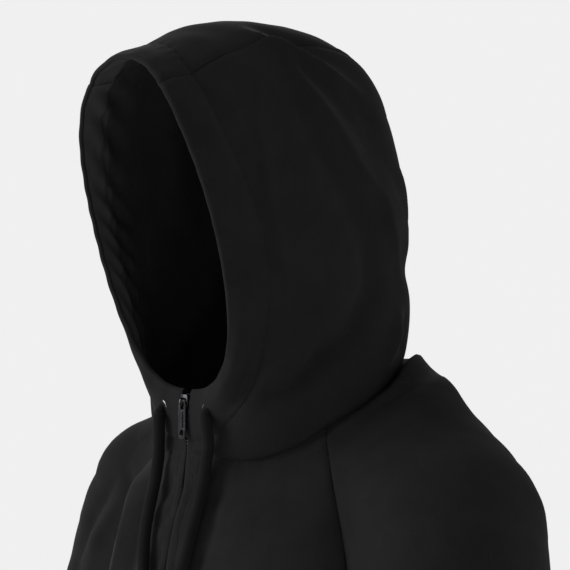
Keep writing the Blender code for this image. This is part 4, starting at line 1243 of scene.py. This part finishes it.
seam, atNeck = cloth["seamHalfGap"], cloth["neckHalfGap"]
for name, outer in bodyOuter.items():
    isFront = name.startswith("front")
    if isFront:  # the zip's edges stray a little from a straight line
        z = outer[:, 0, 2]
        wander = 0.15 + 0.5 * power(np.sin(z / 19 + 1.4 * np.sin(z / 43)), 2)
        outer[:, :, 0] += (panelSides[name] * wander)[:, None] * np.exp(-edgeRuns(outer)[2] / 6)
    inner = outer - cloth["wall"] * bodyNormals[name]
    gaps = (atNeck, seam, 0 if isFront else seam, seam)
    addPanel(name, outer, inner, gaps, (0, 0, 7 if isFront else 0, 0), 0.75)
turnedRows = int(np.searchsorted(hoodBases, hoodBases[0] + hoodCloth["turnedIn"]))
for name, outer in hoodOuter.items():
    gaps = (0, atNeck, seam, seam) if name == "hoodCentre" else (0, seam, atNeck, seam)
    addPanel(name, outer, hoodInner[name], gaps, (9, 0, 0, 0), turnedRows=turnedRows)
print("panels made")


# Rib knit band and cuffs: plain walls whose outside is ribbed by Geometry Nodes

ribs = {
    "hemPitch": 5.2,  # mm
    "cuffPitch": 5.0,
    "cuffCount": 54,
    "height": 1.35,
    "setIn": 1.5,
    "hemBelly": 1.2,
    "hemUneven": 0.8,
    "cuffBelly": 1.0,
    "cuffTuck": 0.6,  # mm that a cuff starts inside its sleeve
    "bandTop": -603.4,
    "tuckedUp": 1.1,  # mm that the band reaches into its seam
    "bandBottom": -668.0,
    "hemDraw": 7.0,
    "cuffLength": 64.0,
    "cuffDraw": 2.5,
    "rows": 14,
    "stepsPerRib": 6,
}


def nodeTree(name, inputs):
    tree = bpy.data.node_groups.new(name, "GeometryNodeTree")
    tree.interface.new_socket("Geometry", in_out="INPUT", socket_type="NodeSocketGeometry")
    for label, (kind, value) in inputs.items():
        socket = tree.interface.new_socket(label, in_out="INPUT", socket_type=kind)
        socket.default_value = value
    tree.interface.new_socket("Geometry", in_out="OUTPUT", socket_type="NodeSocketGeometry")
    start = tree.nodes.new("NodeGroupInput")
    return tree, {socket.name: Socket(tree, socket) for socket in start.outputs if socket.name}


def endTree(tree, geometry, material):
    plain = addNode(tree, "GeometryNodeRealizeInstances", {}, {"Geometry": geometry})
    painted = addNode(tree, "GeometryNodeSetMaterial", {}, {"Geometry": plain, "Material": material})
    end = tree.nodes.new("NodeGroupOutput")
    tree.links.new(painted.link, end.inputs["Geometry"])


def applied(item, tree, values, name):
    # the tree's result as a plain mesh object
    modifier = item.modifiers.new("nodes", "NODES")
    modifier.node_group = tree
    for entry in tree.interface.items_tree:
        if entry.in_out == "INPUT" and entry.name in values:
            modifier[entry.identifier] = values[entry.name]
    data = meshOf(item)
    data.name = name
    return newObject(name, data)


def ribTree():
    tree, given = nodeTree("ribs", {
        "Pitch": ("NodeSocketFloat", 0.005),
        "Height": ("NodeSocketFloat", 0.001),
        "Material": ("NodeSocketMaterial", None),
    })
    attribute = {"data_type": "FLOAT"}
    along = addNode(tree, "GeometryNodeInputNamedAttribute", attribute, {"Name": "along"})
    rise = addNode(tree, "GeometryNodeInputNamedAttribute", attribute, {"Name": "rise"})
    outward = addNode(tree, "GeometryNodeInputNamedAttribute", {"data_type": "FLOAT_VECTOR"},
                      {"Name": "outward"})
    turn = along.maths("DIVIDE", given["Pitch"]) * math.pi
    wave = turn.maths("SINE", 0).maths("ABSOLUTE", 0) ** 0.7
    offset = addNode(tree, "ShaderNodeVectorMath", {"operation": "SCALE"},
                     {0: outward, "Scale": wave * rise * given["Height"]})
    moved = addNode(tree, "GeometryNodeSetPosition", {}, {"Geometry": given["Geometry"], "Offset": offset})
    endTree(tree, moved, given["Material"])
    return tree


ribNodes = ribTree()


def addRibbed(nodeName, outer, inner, side, outward, along, wrap, pitch):
    ends = 0 if wrap else 5
    wall = ClothMesh(outer, inner, side, (0, 7, ends, ends), wrap=wrap)
    item = wall.toObject(nodeName + "_plain", ribKnit)
    rows, columns = outer.shape[:2]
    count = rows * columns
    row = np.arange(rows)
    fadeRows = np.clip(row / 2, 0, 1) * np.clip((rows - 1 - row) / 1.5, 0.35, 1)
    values = {
        "rise": np.repeat(fadeRows, columns),
        "along": np.tile(along * mm, rows),
        "outward": np.broadcast_to(outward, outer.shape).reshape(-1, 3),
    }
    for label, data in values.items():
        kind = "FLOAT_VECTOR" if data.ndim == 2 else "FLOAT"
        full = np.zeros((len(item.data.vertices),) + data.shape[1:])
        full[:count] = data
        stored = item.data.attributes.new(label, kind, "POINT")
        stored.data.foreach_set("vector" if data.ndim == 2 else "value", full.ravel())
    inputs = {"Pitch": pitch * mm, "Height": ribs["height"] * mm, "Material": ribKnit}
    item = applied(item, ribNodes, inputs, nodeName + "_knit")
    sheets.append((fit(item, "rib_knit", nodeName), clothSize(outer), "stretched"))


hemLine = np.concatenate([
    bodyGrids["frontLeft"][-1],
    bodyGrids["back"][-1][1:-1],
    bodyGrids["frontRight"][-1][::-1],
])
hemSteps = round(runAlong(hemLine)[-1] / ribs["hemPitch"]) * ribs["stepsPerRib"]
hemRing = evenly(hemLine[None], np.linspace(0, 1, hemSteps + 1)[None])[0]
hemOut = unit(np.cross(np.array([0.0, 0.0, -1.0]), np.gradient(hemRing, axis=0)))
bandTop = ribs["bandTop"] + ribs["tuckedUp"]
hemOuter = []
for t in np.linspace(0, 1, ribs["rows"]):
    belly = math.sin(math.pi * t)
    line = hemRing - hemOut * (ribs["setIn"] + ribs["hemDraw"] * t**1.5 - ribs["hemBelly"] * belly)
    uneven = ribs["hemUneven"] * ripple(line * np.array([1, 1, 0]) + 400 * t, 90, 7)
    line = line + hemOut * uneven[:, None] * belly
    line[:, 2] = bandTop + (ribs["bandBottom"] - bandTop) * t
    hemOuter.append(line)
hemOuter = np.array(hemOuter)
hemInner = hemOuter - hemOut * cloth["wall"]
hemAlong = np.linspace(0, hemSteps / ribs["stepsPerRib"] * ribs["hemPitch"], hemSteps + 1)
addRibbed("hem_band", hemOuter, hemInner, 1, hemOut, hemAlong, False, ribs["hemPitch"])

cuffMiddle, cuffBreadth, cuffOut, _ = sleeveSections([1.98, 2.0])
cuffAxis = unit(cuffMiddle[1] - cuffMiddle[0])
cuffSteps = ribs["cuffCount"] * ribs["stepsPerRib"]
cuffTurn = np.linspace(0, 2 * np.pi, cuffSteps, endpoint=False)[:, None]
cuffWay = cuffBreadth[1] * np.sin(cuffTurn) + cuffOut[1] * np.cos(cuffTurn)
cuffReach = np.linalg.norm(cuffWay, axis=1)[:, None]
cuffWay = unit(cuffWay)
cuffOuter = []
cuffInner = []
for t in np.linspace(0, 1, ribs["rows"]):
    reach = cuffReach - ribs["setIn"] - ribs["cuffDraw"] * t + ribs["cuffBelly"] * math.sin(math.pi * t)
    centre = cuffMiddle[1] + cuffAxis * (ribs["cuffLength"] * t - ribs["cuffTuck"] * (1 - t))
    cuffOuter.append(centre + cuffWay * reach)
    cuffInner.append(centre + cuffWay * (reach - cloth["wall"]))
cuffAlong = np.arange(cuffSteps) / ribs["stepsPerRib"] * ribs["cuffPitch"]
for nodeName, side in (("cuff_left", 1), ("cuff_right", -1)):
    outer, inner, way = (np.array(rows) * np.array([side, 1, 1]) for rows in (cuffOuter, cuffInner, cuffWay))
    addRibbed(nodeName, outer, inner, side, way, cuffAlong, True, ribs["cuffPitch"])
print("rib knit made")


# Zip: woven tapes, a row of metal teeth, the slider and its pull tab

zipper = {
    "tapeEdge": 1.4,
    "tapeWidth": 13.0,
    "tapeWall": 0.7,
    "tapeGap": 1.1,
    "tapeTop": 12.0,
    "tapeBow": 0.004,
    "casingFrom": -26,  # height where the front begins to thicken
    "casingFade": 10,
    "toothPitch": 2.6,
    "toothOffset": 1.15,  # mm from the middle of the zip to a row's middle
    "toothSink": 0.6,
    "toothTop": -3,
    "toothLength": 3.4,
    "toothHeight": 1.25,
    "toothDepth": 2.0,
}


def frontDepth(z):
    edge = bodyGrids["frontLeft"][:, 0]
    onBody = np.interp(-z, -edge[:, 2], edge[:, 1])
    drop = (ribs["bandTop"] - z) / (ribs["bandTop"] - ribs["bandBottom"])
    onBand = edge[-1, 1] + ribs["setIn"] + ribs["hemDraw"] * power(drop, 1.5)
    return np.where(z > edge[0, 2], edge[0, 1], np.where(z < ribs["bandTop"], onBand, onBody))


def behindFront(z):
    # the inside of the front, which is thicker in the casing
    thicker = smoothStep((z - zipper["casingFrom"]) / zipper["casingFade"])
    return frontDepth(z) + cloth["wall"] + (cloth["casingWall"] - cloth["wall"]) * thicker


tapeZ = np.linspace(zipper["tapeTop"], ribs["bandBottom"] + 0.5, 160)
tapeAcross = np.linspace(zipper["tapeEdge"], zipper["tapeWidth"], 5)
tapeDepth = behindFront(tapeZ) + zipper["tapeGap"]
for nodeName, side in (("zip_tape_left", 1), ("zip_tape_right", -1)):
    grid = np.zeros((len(tapeZ), len(tapeAcross), 3))
    grid[..., 0] = tapeAcross * side
    grid[..., 1] = tapeDepth[:, None] + zipper["tapeBow"] * tapeAcross**2
    grid[..., 2] = tapeZ[:, None]
    wall = ClothMesh(grid, grid + np.array([0, zipper["tapeWall"], 0]), side, (3, 3, 3, 3))
    item = wall.toObject(nodeName + "_weave", tapeCloth)
    sheets.append((fit(item, "zip_tape", nodeName), clothSize(grid), "hung"))


def pathObject(name, lines):
    # open lines of points, in mm, as loose edges
    data = bpy.data.meshes.new(name)
    points = []
    edges = []
    for line in lines:
        start = len(points)
        points += (np.asarray(line) * mm).tolist()
        edges += [(start + k, start + k + 1) for k in range(len(line) - 1)]
    data.from_pydata(points, edges, [])
    return newObject(name, data)


def rowTree(name, blocky):
    tree, given = nodeTree(name, {
        "Spacing": ("NodeSocketFloat", 0.003),
        "Size": ("NodeSocketVector", (0.001, 0.001, 0.001)),
        "Unevenness": ("NodeSocketFloat", 0.1),
        "Seed": ("NodeSocketInt", 4),
        "Material": ("NodeSocketMaterial", None),
    })
    if blocky:
        shape = addNode(tree, "GeometryNodeMeshCube", {}, {"Size": (1, 1, 1)})
        shape = addNode(tree, "GeometryNodeSubdivisionSurface", {},
                        {"Mesh": shape, "Level": 1, "Edge Crease": 0.55})
    else:
        shape = addNode(tree, "GeometryNodeMeshUVSphere", {}, {"Segments": 6, "Rings": 4, "Radius": 0.5})
    curve = addNode(tree, "GeometryNodeMeshToCurve", {}, {"Mesh": given["Geometry"]})
    evenRow = addNode(tree, "GeometryNodeResampleCurve", {"mode": "LENGTH"},
                      {"Curve": curve, "Length": given["Spacing"]})
    tangent = addNode(tree, "GeometryNodeInputTangent", {}, {})
    turn = addNode(tree, "FunctionNodeAlignRotationToVector", {"axis": "Z"}, {"Vector": tangent})
    chance = addNode(tree, "FunctionNodeRandomValue", {"data_type": "FLOAT"},
                     {2: 1.0 - given["Unevenness"], 3: 1.0 + given["Unevenness"], "Seed": given["Seed"]}, 1)
    size = addNode(tree, "ShaderNodeVectorMath", {"operation": "SCALE"}, {0: given["Size"], "Scale": chance})
    placed = addNode(tree, "GeometryNodeInstanceOnPoints", {},
                     {"Points": evenRow, "Instance": shape, "Rotation": turn, "Scale": size})
    endTree(tree, placed, given["Material"])
    return tree


toothLines = []
for side, shift in ((1, 0), (-1, zipper["toothPitch"] / 2)):
    z = np.linspace(zipper["toothTop"] - shift, ribs["bandBottom"] + 8 - shift, 220)
    x = np.full_like(z, zipper["toothOffset"] * side)
    toothLines.append(np.stack([x, behindFront(z) - zipper["toothSink"], z], axis=-1))
teeth = applied(pathObject("teeth_path", toothLines), rowTree("teeth", True), {
    "Spacing": zipper["toothPitch"] * mm,
    "Size": (zipper["toothLength"] * mm, zipper["toothDepth"] * mm, zipper["toothHeight"] * mm),
    "Unevenness": 0.02,
    "Seed": 3,
    "Material": toothMetal,
}, "zip_teeth")
fit(teeth, "dark_metal")
print("zip teeth made")


# Stitches: rows of short threads beside the edges of the panels; sizes in mm

stitching = {
    "pitch": 3.3,
    "length": 2.5,
    "thick": 0.62,
    "lift": 0.1,
    "belowNeck": 4.2,
    "aboveBand": 4.5,
    "aboveCuff": 4.0,
}


def besideEdge(panel, run, distance, crossing):
    # the line on a panel that stays this far from an edge; crossing is the grid's axis away from that edge
    points, runs = (panel, run) if crossing == 1 else (panel.swapaxes(0, 1), run.swapaxes(0, 1))
    distances = np.broadcast_to(distance, len(points))
    line = np.zeros((len(points), 3))
    for k, (row, far) in enumerate(zip(points, runs)):
        order = np.argsort(far)
        for axis in range(3):
            line[k, axis] = np.interp(distances[k], far[order], row[order, axis])
    return line


seamLines = []
for name, outer in bodyOuter.items():
    raised = outer + stitching["lift"] * bodyNormals[name]
    top, bottom, first, last = edgeRuns(outer)
    isSleeve = name.startswith("sleeve")
    seamLines.append(besideEdge(raised, top, stitching["belowNeck"], 0)[2 if name != "back" else 0:])
    seamLines.append(besideEdge(raised, bottom, stitching["aboveCuff" if isSleeve else "aboveBand"], 0))
    if name.startswith("front"):
        seamLines.append(besideEdge(raised, first, bodyCloth["placketStitch"], 1)[4:])
for name, outer in hoodOuter.items():
    raised = outer + stitching["lift"] * hoodNormals[name]
    seamLines.append(besideEdge(raised, edgeRuns(outer)[0], casingLines[name], 0)[1:-1])
stitches = applied(pathObject("seam_lines", seamLines), rowTree("stitches", False), {
    "Spacing": stitching["pitch"] * mm,
    "Size": (stitching["thick"] * mm, stitching["thick"] * mm, stitching["length"] * mm),
    "Unevenness": 0.08,
    "Seed": 11,
    "Material": thread,
}, "stitches_thread")
fit(stitches, "fleece")
print("stitches made")


# Slider and pull tab, in mm

slider = {
    "halfWidth": 5.0,
    "footHalf": 4.0,
    "top": 13.0,
    "low": 1.0,
    "front": -98.0,
    "back": -90.4,
    "frontPlate": 1.9,
    "backPlate": 1.6,
    "bridgeHalf": 1.2,
}
pullTab = {
    "axis": (0, -99.6, 5.5),
    "length": 31.0,
    "halfWidth": 5.0,
    "thick": 1.4,
    "ridge": 0.9,
}


def meshObject(name, mesh, material, angle=40):
    data = bpy.data.meshes.new(name)
    mesh.to_mesh(data)
    mesh.free()
    data.materials.append(material)
    return smoothObject(name, data, angle)


def extruded(outline, low, high, across):
    mesh = bmesh.new()
    ends = []
    for depth in (low, high):
        points = [(depth, u, v) if across == "x" else (u, depth, v) for u, v in outline]
        ends.append([mesh.verts.new(Vector(point) * mm) for point in points])
    count = len(outline)
    mesh.faces.new(ends[0])
    mesh.faces.new(ends[1])
    for j in range(count):
        k = (j + 1) % count
        mesh.faces.new((ends[0][j], ends[0][k], ends[1][k], ends[1][j]))
    bmesh.ops.recalc_face_normals(mesh, faces=mesh.faces)
    return mesh


def withBevel(item, width, segments):
    bevel = item.modifiers.new("round edges", "BEVEL")
    bevel.width = width * mm
    bevel.segments = segments
    bevel.limit_method = "ANGLE"
    return item


def addSlider(blocks):
    # one plain mesh of several bevelled blocks
    items = [withBevel(meshObject("block", extruded(outline, low, high, across), gunmetal), width, segments)
             for outline, low, high, across, width, segments in blocks]
    mesh = bmesh.new()
    for item in items:
        mesh.from_mesh(meshOf(item))
    fit(meshObject("zip_slider_metal", mesh, gunmetal), "dark_metal", "zip_slider")


half, foot, low, high = slider["halfWidth"], slider["footHalf"], slider["low"], slider["top"]
shield = [(-foot, low), (foot, low), (half, low + 5), (half, high - 1.2), (half - 1.5, high),
          (-half + 1.5, high), (-half, high - 1.2), (-half, low + 5)]
post = [(-1.6, high - 4.5), (1.6, high - 4.5), (2.2, high - 0.4), (-2.2, high - 0.4)]
_, hingeY, hingeZ = pullTab["axis"]
inside = slider["front"] + 0.6
inFront = ((1.6, -4.3), (2.8, -3.4), (3.2, -2), (3.3, 0), (3.2, 2), (2.8, 3.4), (1.6, 4.3))
behind = ((1.4, 2.7), (1.9, 2), (1.9, -2), (1.4, -2.7))
arch = [
    (inside, hingeZ - 4.4),
    *((hingeY - y, hingeZ + z) for y, z in inFront),
    (inside, hingeZ + 4.4),
    (inside, hingeZ + 2.7),
    *((hingeY - y, hingeZ + z) for y, z in behind),
    (inside, hingeZ - 2.7),
]
front, back, bridge = slider["front"], slider["back"], slider["bridgeHalf"]
addSlider([
    (shield, front, front + slider["frontPlate"], "y", 0.6, 3),
    (shield, back - slider["backPlate"], back, "y", 0.5, 2),
    (post, front + 1, back - 1, "y", 0.4, 2),
    (arch, -bridge, bridge, "x", 0.35, 2),
])


def roundOutline(halfWidth, top, bottom, cornerTop, cornerBottom, steps=6):
    points = []
    corners = (
        (halfWidth, top, cornerTop, 0), (-halfWidth, top, cornerTop, 90),
        (-halfWidth, bottom, cornerBottom, 180), (halfWidth, bottom, cornerBottom, 270),
    )
    for x, z, radius, start in corners:
        centreX = x - math.copysign(radius, x)
        centreZ = z - radius if z == top else z + radius
        for k in range(steps + 1):
            turn = math.radians(start + 90 * k / steps)
            points.append((centreX + radius * math.cos(turn), centreZ + radius * math.sin(turn)))
    return points


def flatPlate(name, outlines, thick, bevel):
    curve = bpy.data.curves.new(name, "CURVE")
    curve.dimensions = "2D"
    curve.fill_mode = "BOTH"
    curve.extrude = (thick / 2 - bevel) * mm
    curve.bevel_depth = bevel * mm
    curve.bevel_resolution = 2
    for outline in outlines:
        spline = curve.splines.new("POLY")
        spline.points.add(len(outline) - 1)
        for point, (x, z) in zip(spline.points, outline):
            point.co = (x * mm, z * mm, 0, 1)
        spline.use_cyclic_u = True
    return meshOf(newObject(name, curve))


def addPullTab():
    length, wide = pullTab["length"], pullTab["halfWidth"]
    outlines = (
        roundOutline(wide - 0.25, 0.55, 0.25 - length, 1.0, 3.6),
        roundOutline(2.55, -1.05, -5.65, 0.6, 1.3, 4),
        roundOutline(2.25, 7.9 - length, 2.3 - length, 1.3, 1.9, 5),
    )
    mesh = bmesh.new()
    mesh.from_mesh(flatPlate("tab_plate", outlines, pullTab["thick"], 0.25))
    # a raised rib down the middle of the plate and a bead round its lower window
    rib = roundOutline(1.15, -7.6, 9.6 - length, 1.1, 1.1, 5)
    mesh.from_mesh(flatPlate("tab_rib", [rib], pullTab["thick"] + 2 * pullTab["ridge"], 0.7))
    bead = (
        roundOutline(wide - 1.0, 9.1 - length, 1.0 - length, 2.4, 3.0),
        roundOutline(2.6, 8.2 - length, 2.0 - length, 1.5, 2.1),
    )
    mesh.from_mesh(flatPlate("tab_bead", bead, pullTab["thick"] + 0.7, 0.3))
    for vertex in mesh.verts:
        x, z, y = vertex.co
        vertex.co = Vector((x, pullTab["axis"][1] * mm - y, pullTab["axis"][2] * mm + z))
    fit(meshObject("pull_tab_metal", mesh, gunmetal, 50), "dark_metal", "pull_tab", tabBody)


addPullTab()
print("slider and pull tab made")


# Eyelets, turned from a profile of (radius, height)

eyelet = {
    "place": (-26, 0.088),  # base on the zip edge, share of the hoop
    "hole": 5.0,
    "rim": 7.5,
    "thick": 1.8,
    "foot": 0.3,
    "lift": 0.9,
    "steps": 40,
}


def eyeletFrame(side):
    base, along = eyelet["place"]
    step = 0.004
    bases, shares = np.array([base - 1, base, base + 1]), np.array([along - step, along, along + step])
    grid = hoodSideGrid(bases, shares)
    normal = unit(np.cross(grid[2, 1] - grid[0, 1], grid[1, 2] - grid[1, 0]))
    way = np.array([side, 1, 1])
    return grid[1, 1] * way, normal * way


def turnedRing(profile, steps, place, axis):
    turn = Vector(axis).to_track_quat("Z", "Y")
    mesh = bmesh.new()
    rings = []
    for k in range(steps):
        angle = 2 * math.pi * k / steps
        ring = []
        for radius, height in profile:
            point = turn @ Vector((radius * math.cos(angle), radius * math.sin(angle), height))
            ring.append(mesh.verts.new((point + Vector(place)) * mm))
        rings.append(ring)
    for k, ring in enumerate(rings):
        after = rings[(k + 1) % steps]
        for j in range(len(profile)):
            m = (j + 1) % len(profile)
            mesh.faces.new((ring[j], after[j], after[m], ring[m]))
    bmesh.ops.recalc_face_normals(mesh, faces=mesh.faces)
    return mesh


hole, rim, foot = eyelet["hole"], eyelet["rim"], eyelet["foot"]
eyeletProfile = [(hole + 0.1, -1.2), (hole + 0.5, -1.4), (rim - 0.4, 0.0)]
for t in np.linspace(0, math.pi, 13):
    away = (rim + hole) / 2 + (rim - hole) / 2 * math.cos(t)
    eyeletProfile.append((away, foot + (eyelet["thick"] - foot) * abs(math.sin(t)) ** 0.8))
for nodeName, side in (("eyelet_left", 1), ("eyelet_right", -1)):
    centre, normal = eyeletFrame(side)
    ring = turnedRing(eyeletProfile, eyelet["steps"], centre + normal * eyelet["lift"], normal)
    fit(meshObject(nodeName + "_metal", ring, eyeletMetal), "dark_metal", nodeName)
print("eyelets made")


# Drawstring

drawstring = {
    "width": 10.4,
    "knotDrop": 9,  # mm from the cord's end to the knot's middle
    "knotSize": 3.3,
    "knotCord": 3.7,  # radius where it is pulled tight
    "tail": (14, 34.5),  # mm below the cord's end
    "left": (
        (36.5, -103.8, -5), (38, -103.4, -13), (37.5, -101.4, -23), (34.5, -99.4, -35), (31.5, -99.5, -50),
        (31, -104.5, -72), (32, -113.5, -97), (31, -120.5, -122), (27, -126.5, -146), (27, -132.5, -182),
        (30, -137.5, -224), (33, -141, -262),
    ),
    "right": (
        (-27, -103.8, -5), (-27.5, -103.4, -13), (-29.5, -101.6, -24), (-31.5, -100.3, -38),
        (-32.5, -103, -60), (-31, -110, -82), (-28, -117.5, -103), (-23.5, -123.5, -126),
        (-19, -128, -148), (-18, -133.5, -180), (-22, -138.5, -224), (-25, -143, -270),
    ),
}


def smoothRoute(points, spacing):
    count = max(4, round(runAlong(np.array(points, float))[-1] / spacing))
    return evenly(smoothLine(points, 400)[None], np.linspace(0, 1, count + 1)[None])[0]


def tubeRings(path, radii, around):
    # rings carried along the path without twisting
    way = unit(np.gradient(path, axis=0))
    across = unit(np.cross(way[0], np.array([0.0, 1.0, 0.01])))
    rings = []
    angle = np.linspace(0, 2 * np.pi, around, endpoint=False)[:, None]
    for k, centre in enumerate(path):
        across = unit(across - way[k] * (across @ way[k]))
        up = np.cross(way[k], across)
        rings.append(centre + radii[k] * (across * np.cos(angle) + up * np.sin(angle)))
    return np.array(rings)


def tubeMesh(rings):
    mesh = bmesh.new()
    around = rings.shape[1]
    vertices = [[mesh.verts.new(point * mm) for point in ring] for ring in rings]
    for ring, after in zip(vertices, vertices[1:]):
        for j in range(around):
            k = (j + 1) % around
            mesh.faces.new((ring[j], ring[k], after[k], after[j]))
    mesh.faces.new(vertices[0])
    mesh.faces.new(vertices[-1])
    bmesh.ops.recalc_face_normals(mesh, faces=mesh.faces)
    return mesh


def knotPath(start, way, size):
    # an overhand knot: a trefoil's loops, entered from above and left below
    across = unit(np.cross(way, np.array([0.3, 1.0, 0.1])))
    up = np.cross(way, across)
    t = np.linspace(-0.3, 2 * np.pi - 0.75, 90)
    flat = np.stack([
        np.sin(t) + 1.55 * np.sin(2 * t),
        np.cos(t) - 1.55 * np.cos(2 * t),
        -1.15 * np.sin(3 * t),
    ], axis=-1)
    centre = start + way * drawstring["knotDrop"]
    return centre + size * (flat[:, :1] * across + flat[:, 1:2] * way + flat[:, 2:] * up)


def addCord(name, path, radii, around, nodeName=None, *more):
    mesh = bmesh.new()
    for tube in ((path, radii, around), *more):
        data = bpy.data.meshes.new("tube")
        tubeMesh(tubeRings(*tube)).to_mesh(data)
        mesh.from_mesh(data)
    return fit(meshObject(name, mesh, cordCloth, 60), "cord", nodeName)


radius = drawstring["width"] / 2
for end, side in (("left", 1), ("right", -1)):
    route = smoothRoute(drawstring[end], drawstring["width"] * 2.2)
    fine = smoothRoute(drawstring[end], 2.0)
    radii = radius * (1 + 0.015 * np.sin(np.arange(len(fine)) / 3.1))
    radii[:3] = radius * np.array([0.85, 0.95, 0.99])
    item = addCord("drawstring_%s_cord" % end, fine, radii, 24, "drawstring_" + end)
    way = unit(fine[-1] - fine[-4])
    loops = knotPath(fine[-1], way, drawstring["knotSize"])
    tail = np.array([fine[-1] + way * t for t in np.linspace(*drawstring["tail"], 16)])
    tailRadii = np.full(16, radius - 0.3)
    tailRadii[-3:] = radius * np.array([1.02, 0.96, 0.7])
    knotItem = addCord("knot_%s_cord" % end, loops, np.full(len(loops), drawstring["knotCord"]), 16,
                       "knot_" + end, (tail, tailRadii, 20))
    hole, outOf = eyeletFrame(side)  # the bend where the cord comes out of its eyelet
    low = np.array([0, 0, 1.4])
    start = (hole - outOf * 1.5 - low, hole + outOf * 2.2 - low, hole + outOf * 4.8 - low * 3)
    bend = smoothRoute((*start, fine[3], fine[5], fine[7]), 1.0)
    swell = radius * np.array([0.86, 0.92, 0.97, 0.97])
    bendRadii = np.interp(np.linspace(0, 1, len(bend)), (0, 0.2, 0.5, 1), swell)
    bendItem = addCord("drawstring_%s_bend" % end, bend, bendRadii, 20)
    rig.cord(item, exit=tuple(fine[0] * mm), length=runAlong(fine)[-1] * mm, diameter=drawstring["width"] * mm,
            far_end="knot", stiffness="limp", lay="hanging", with_pieces=[knotItem, bendItem],
            path=[tuple(p * mm) for p in route])
print("drawstring made")


# Declared cloth

for item, (across, down, area), held in sheets:
    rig.sheet(item, flat=(across * mm, down * mm), held=held, area=area * mm * mm)


# Floor, light and background

studio = {
    "floorZ": -0.672,
    "floorRadius": 4.0,
    "floorColour": (0.86, 0.86, 0.86, 1),
    "floorGlow": 0.22,
    "background": 0.871,
    "roomLight": 0.26,  # the room's own light on the cloth
}


def addFloor():
    mesh = bmesh.new()
    bmesh.ops.create_circle(mesh, cap_ends=True, segments=96, radius=studio["floorRadius"])
    glow = {"Emission Strength": studio["floorGlow"], "Emission Color": (1, 1, 1, 1)}
    material, tree, shader = newMaterial("pale floor", {"Roughness": 0.9, **glow})
    grain = noise(tree, objectPoint(tree), 9, 3, 0.5)
    light = [c * 1.02 for c in studio["floorColour"][:3]] + [1]
    feed(tree, shader, colour=mixColours(tree, grain, studio["floorColour"], light))
    item = meshObject("floor", mesh, material)
    item.location = (0, 0, studio["floorZ"])
    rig.stage(item)


def addLight(name, place, aim, size, power):
    data = bpy.data.lights.new(name, "AREA")
    data.shape = "RECTANGLE"
    data.size, data.size_y = size
    data.energy = power
    item = newObject(name, data)
    item.location = place
    item.rotation_euler = (Vector(aim) - Vector(place)).to_track_quat("-Z", "Y").to_euler()


def besideCamera(right, back, up):
    # a place given across, towards and above the camera's aim
    turn = math.radians(camera["azimuth"])
    across = Vector((math.cos(turn), math.sin(turn), 0))
    towards = Vector((math.sin(turn), -math.cos(turn), 0))
    return Vector(camera["aim"]) + across * right + towards * back + Vector((0, 0, up))


addFloor()
lights = (
    ("left softbox", (-2.4, 0.3, 0.9), (1.2, 2.2), 55),
    ("right softbox", (2.3, -0.9, 1.0), (1.0, 2.4), 9),
    ("top softbox", (-0.3, 0.3, 2.8), (2.2, 2.2), 6),
    ("front fill", (1.6, 2.5, 0.4), (0.7, 1.4), 12),
    ("back softbox", (-0.5, -2.6, 1.5), (1.6, 1.6), 22),
)
for name, place, size, power in lights:
    addLight(name, besideCamera(*place), camera["aim"], size, power)
world = bpy.data.worlds.new("studio")
world.use_nodes = True
sky = world.node_tree
sky.nodes.remove(sky.nodes["Background"])
roomLight, backdrop = (
    addNode(sky, "ShaderNodeBackground", {}, {"Color": nearGrey(studio[k], studio[k])})
    for k in ("roomLight", "background"))
seen = addNode(sky, "ShaderNodeLightPath", {}, {}, "Is Camera Ray")
choose = addNode(sky, "ShaderNodeMixShader", {}, {0: seen, 1: roomLight, 2: backdrop})
sky.links.new(choose.link, sky.nodes["World Output"].inputs["Surface"])
bpy.context.scene.world = world
bpy.context.scene.view_settings.view_transform = "Standard"
print("studio ready")

sizes = {"cad": [list(map(float, corner)) for corner in cadBounds], "visual": [list(map(float, corner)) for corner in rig.bounds()]}
with open("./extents.json", "w") as handle:
    json.dump(sizes, handle)
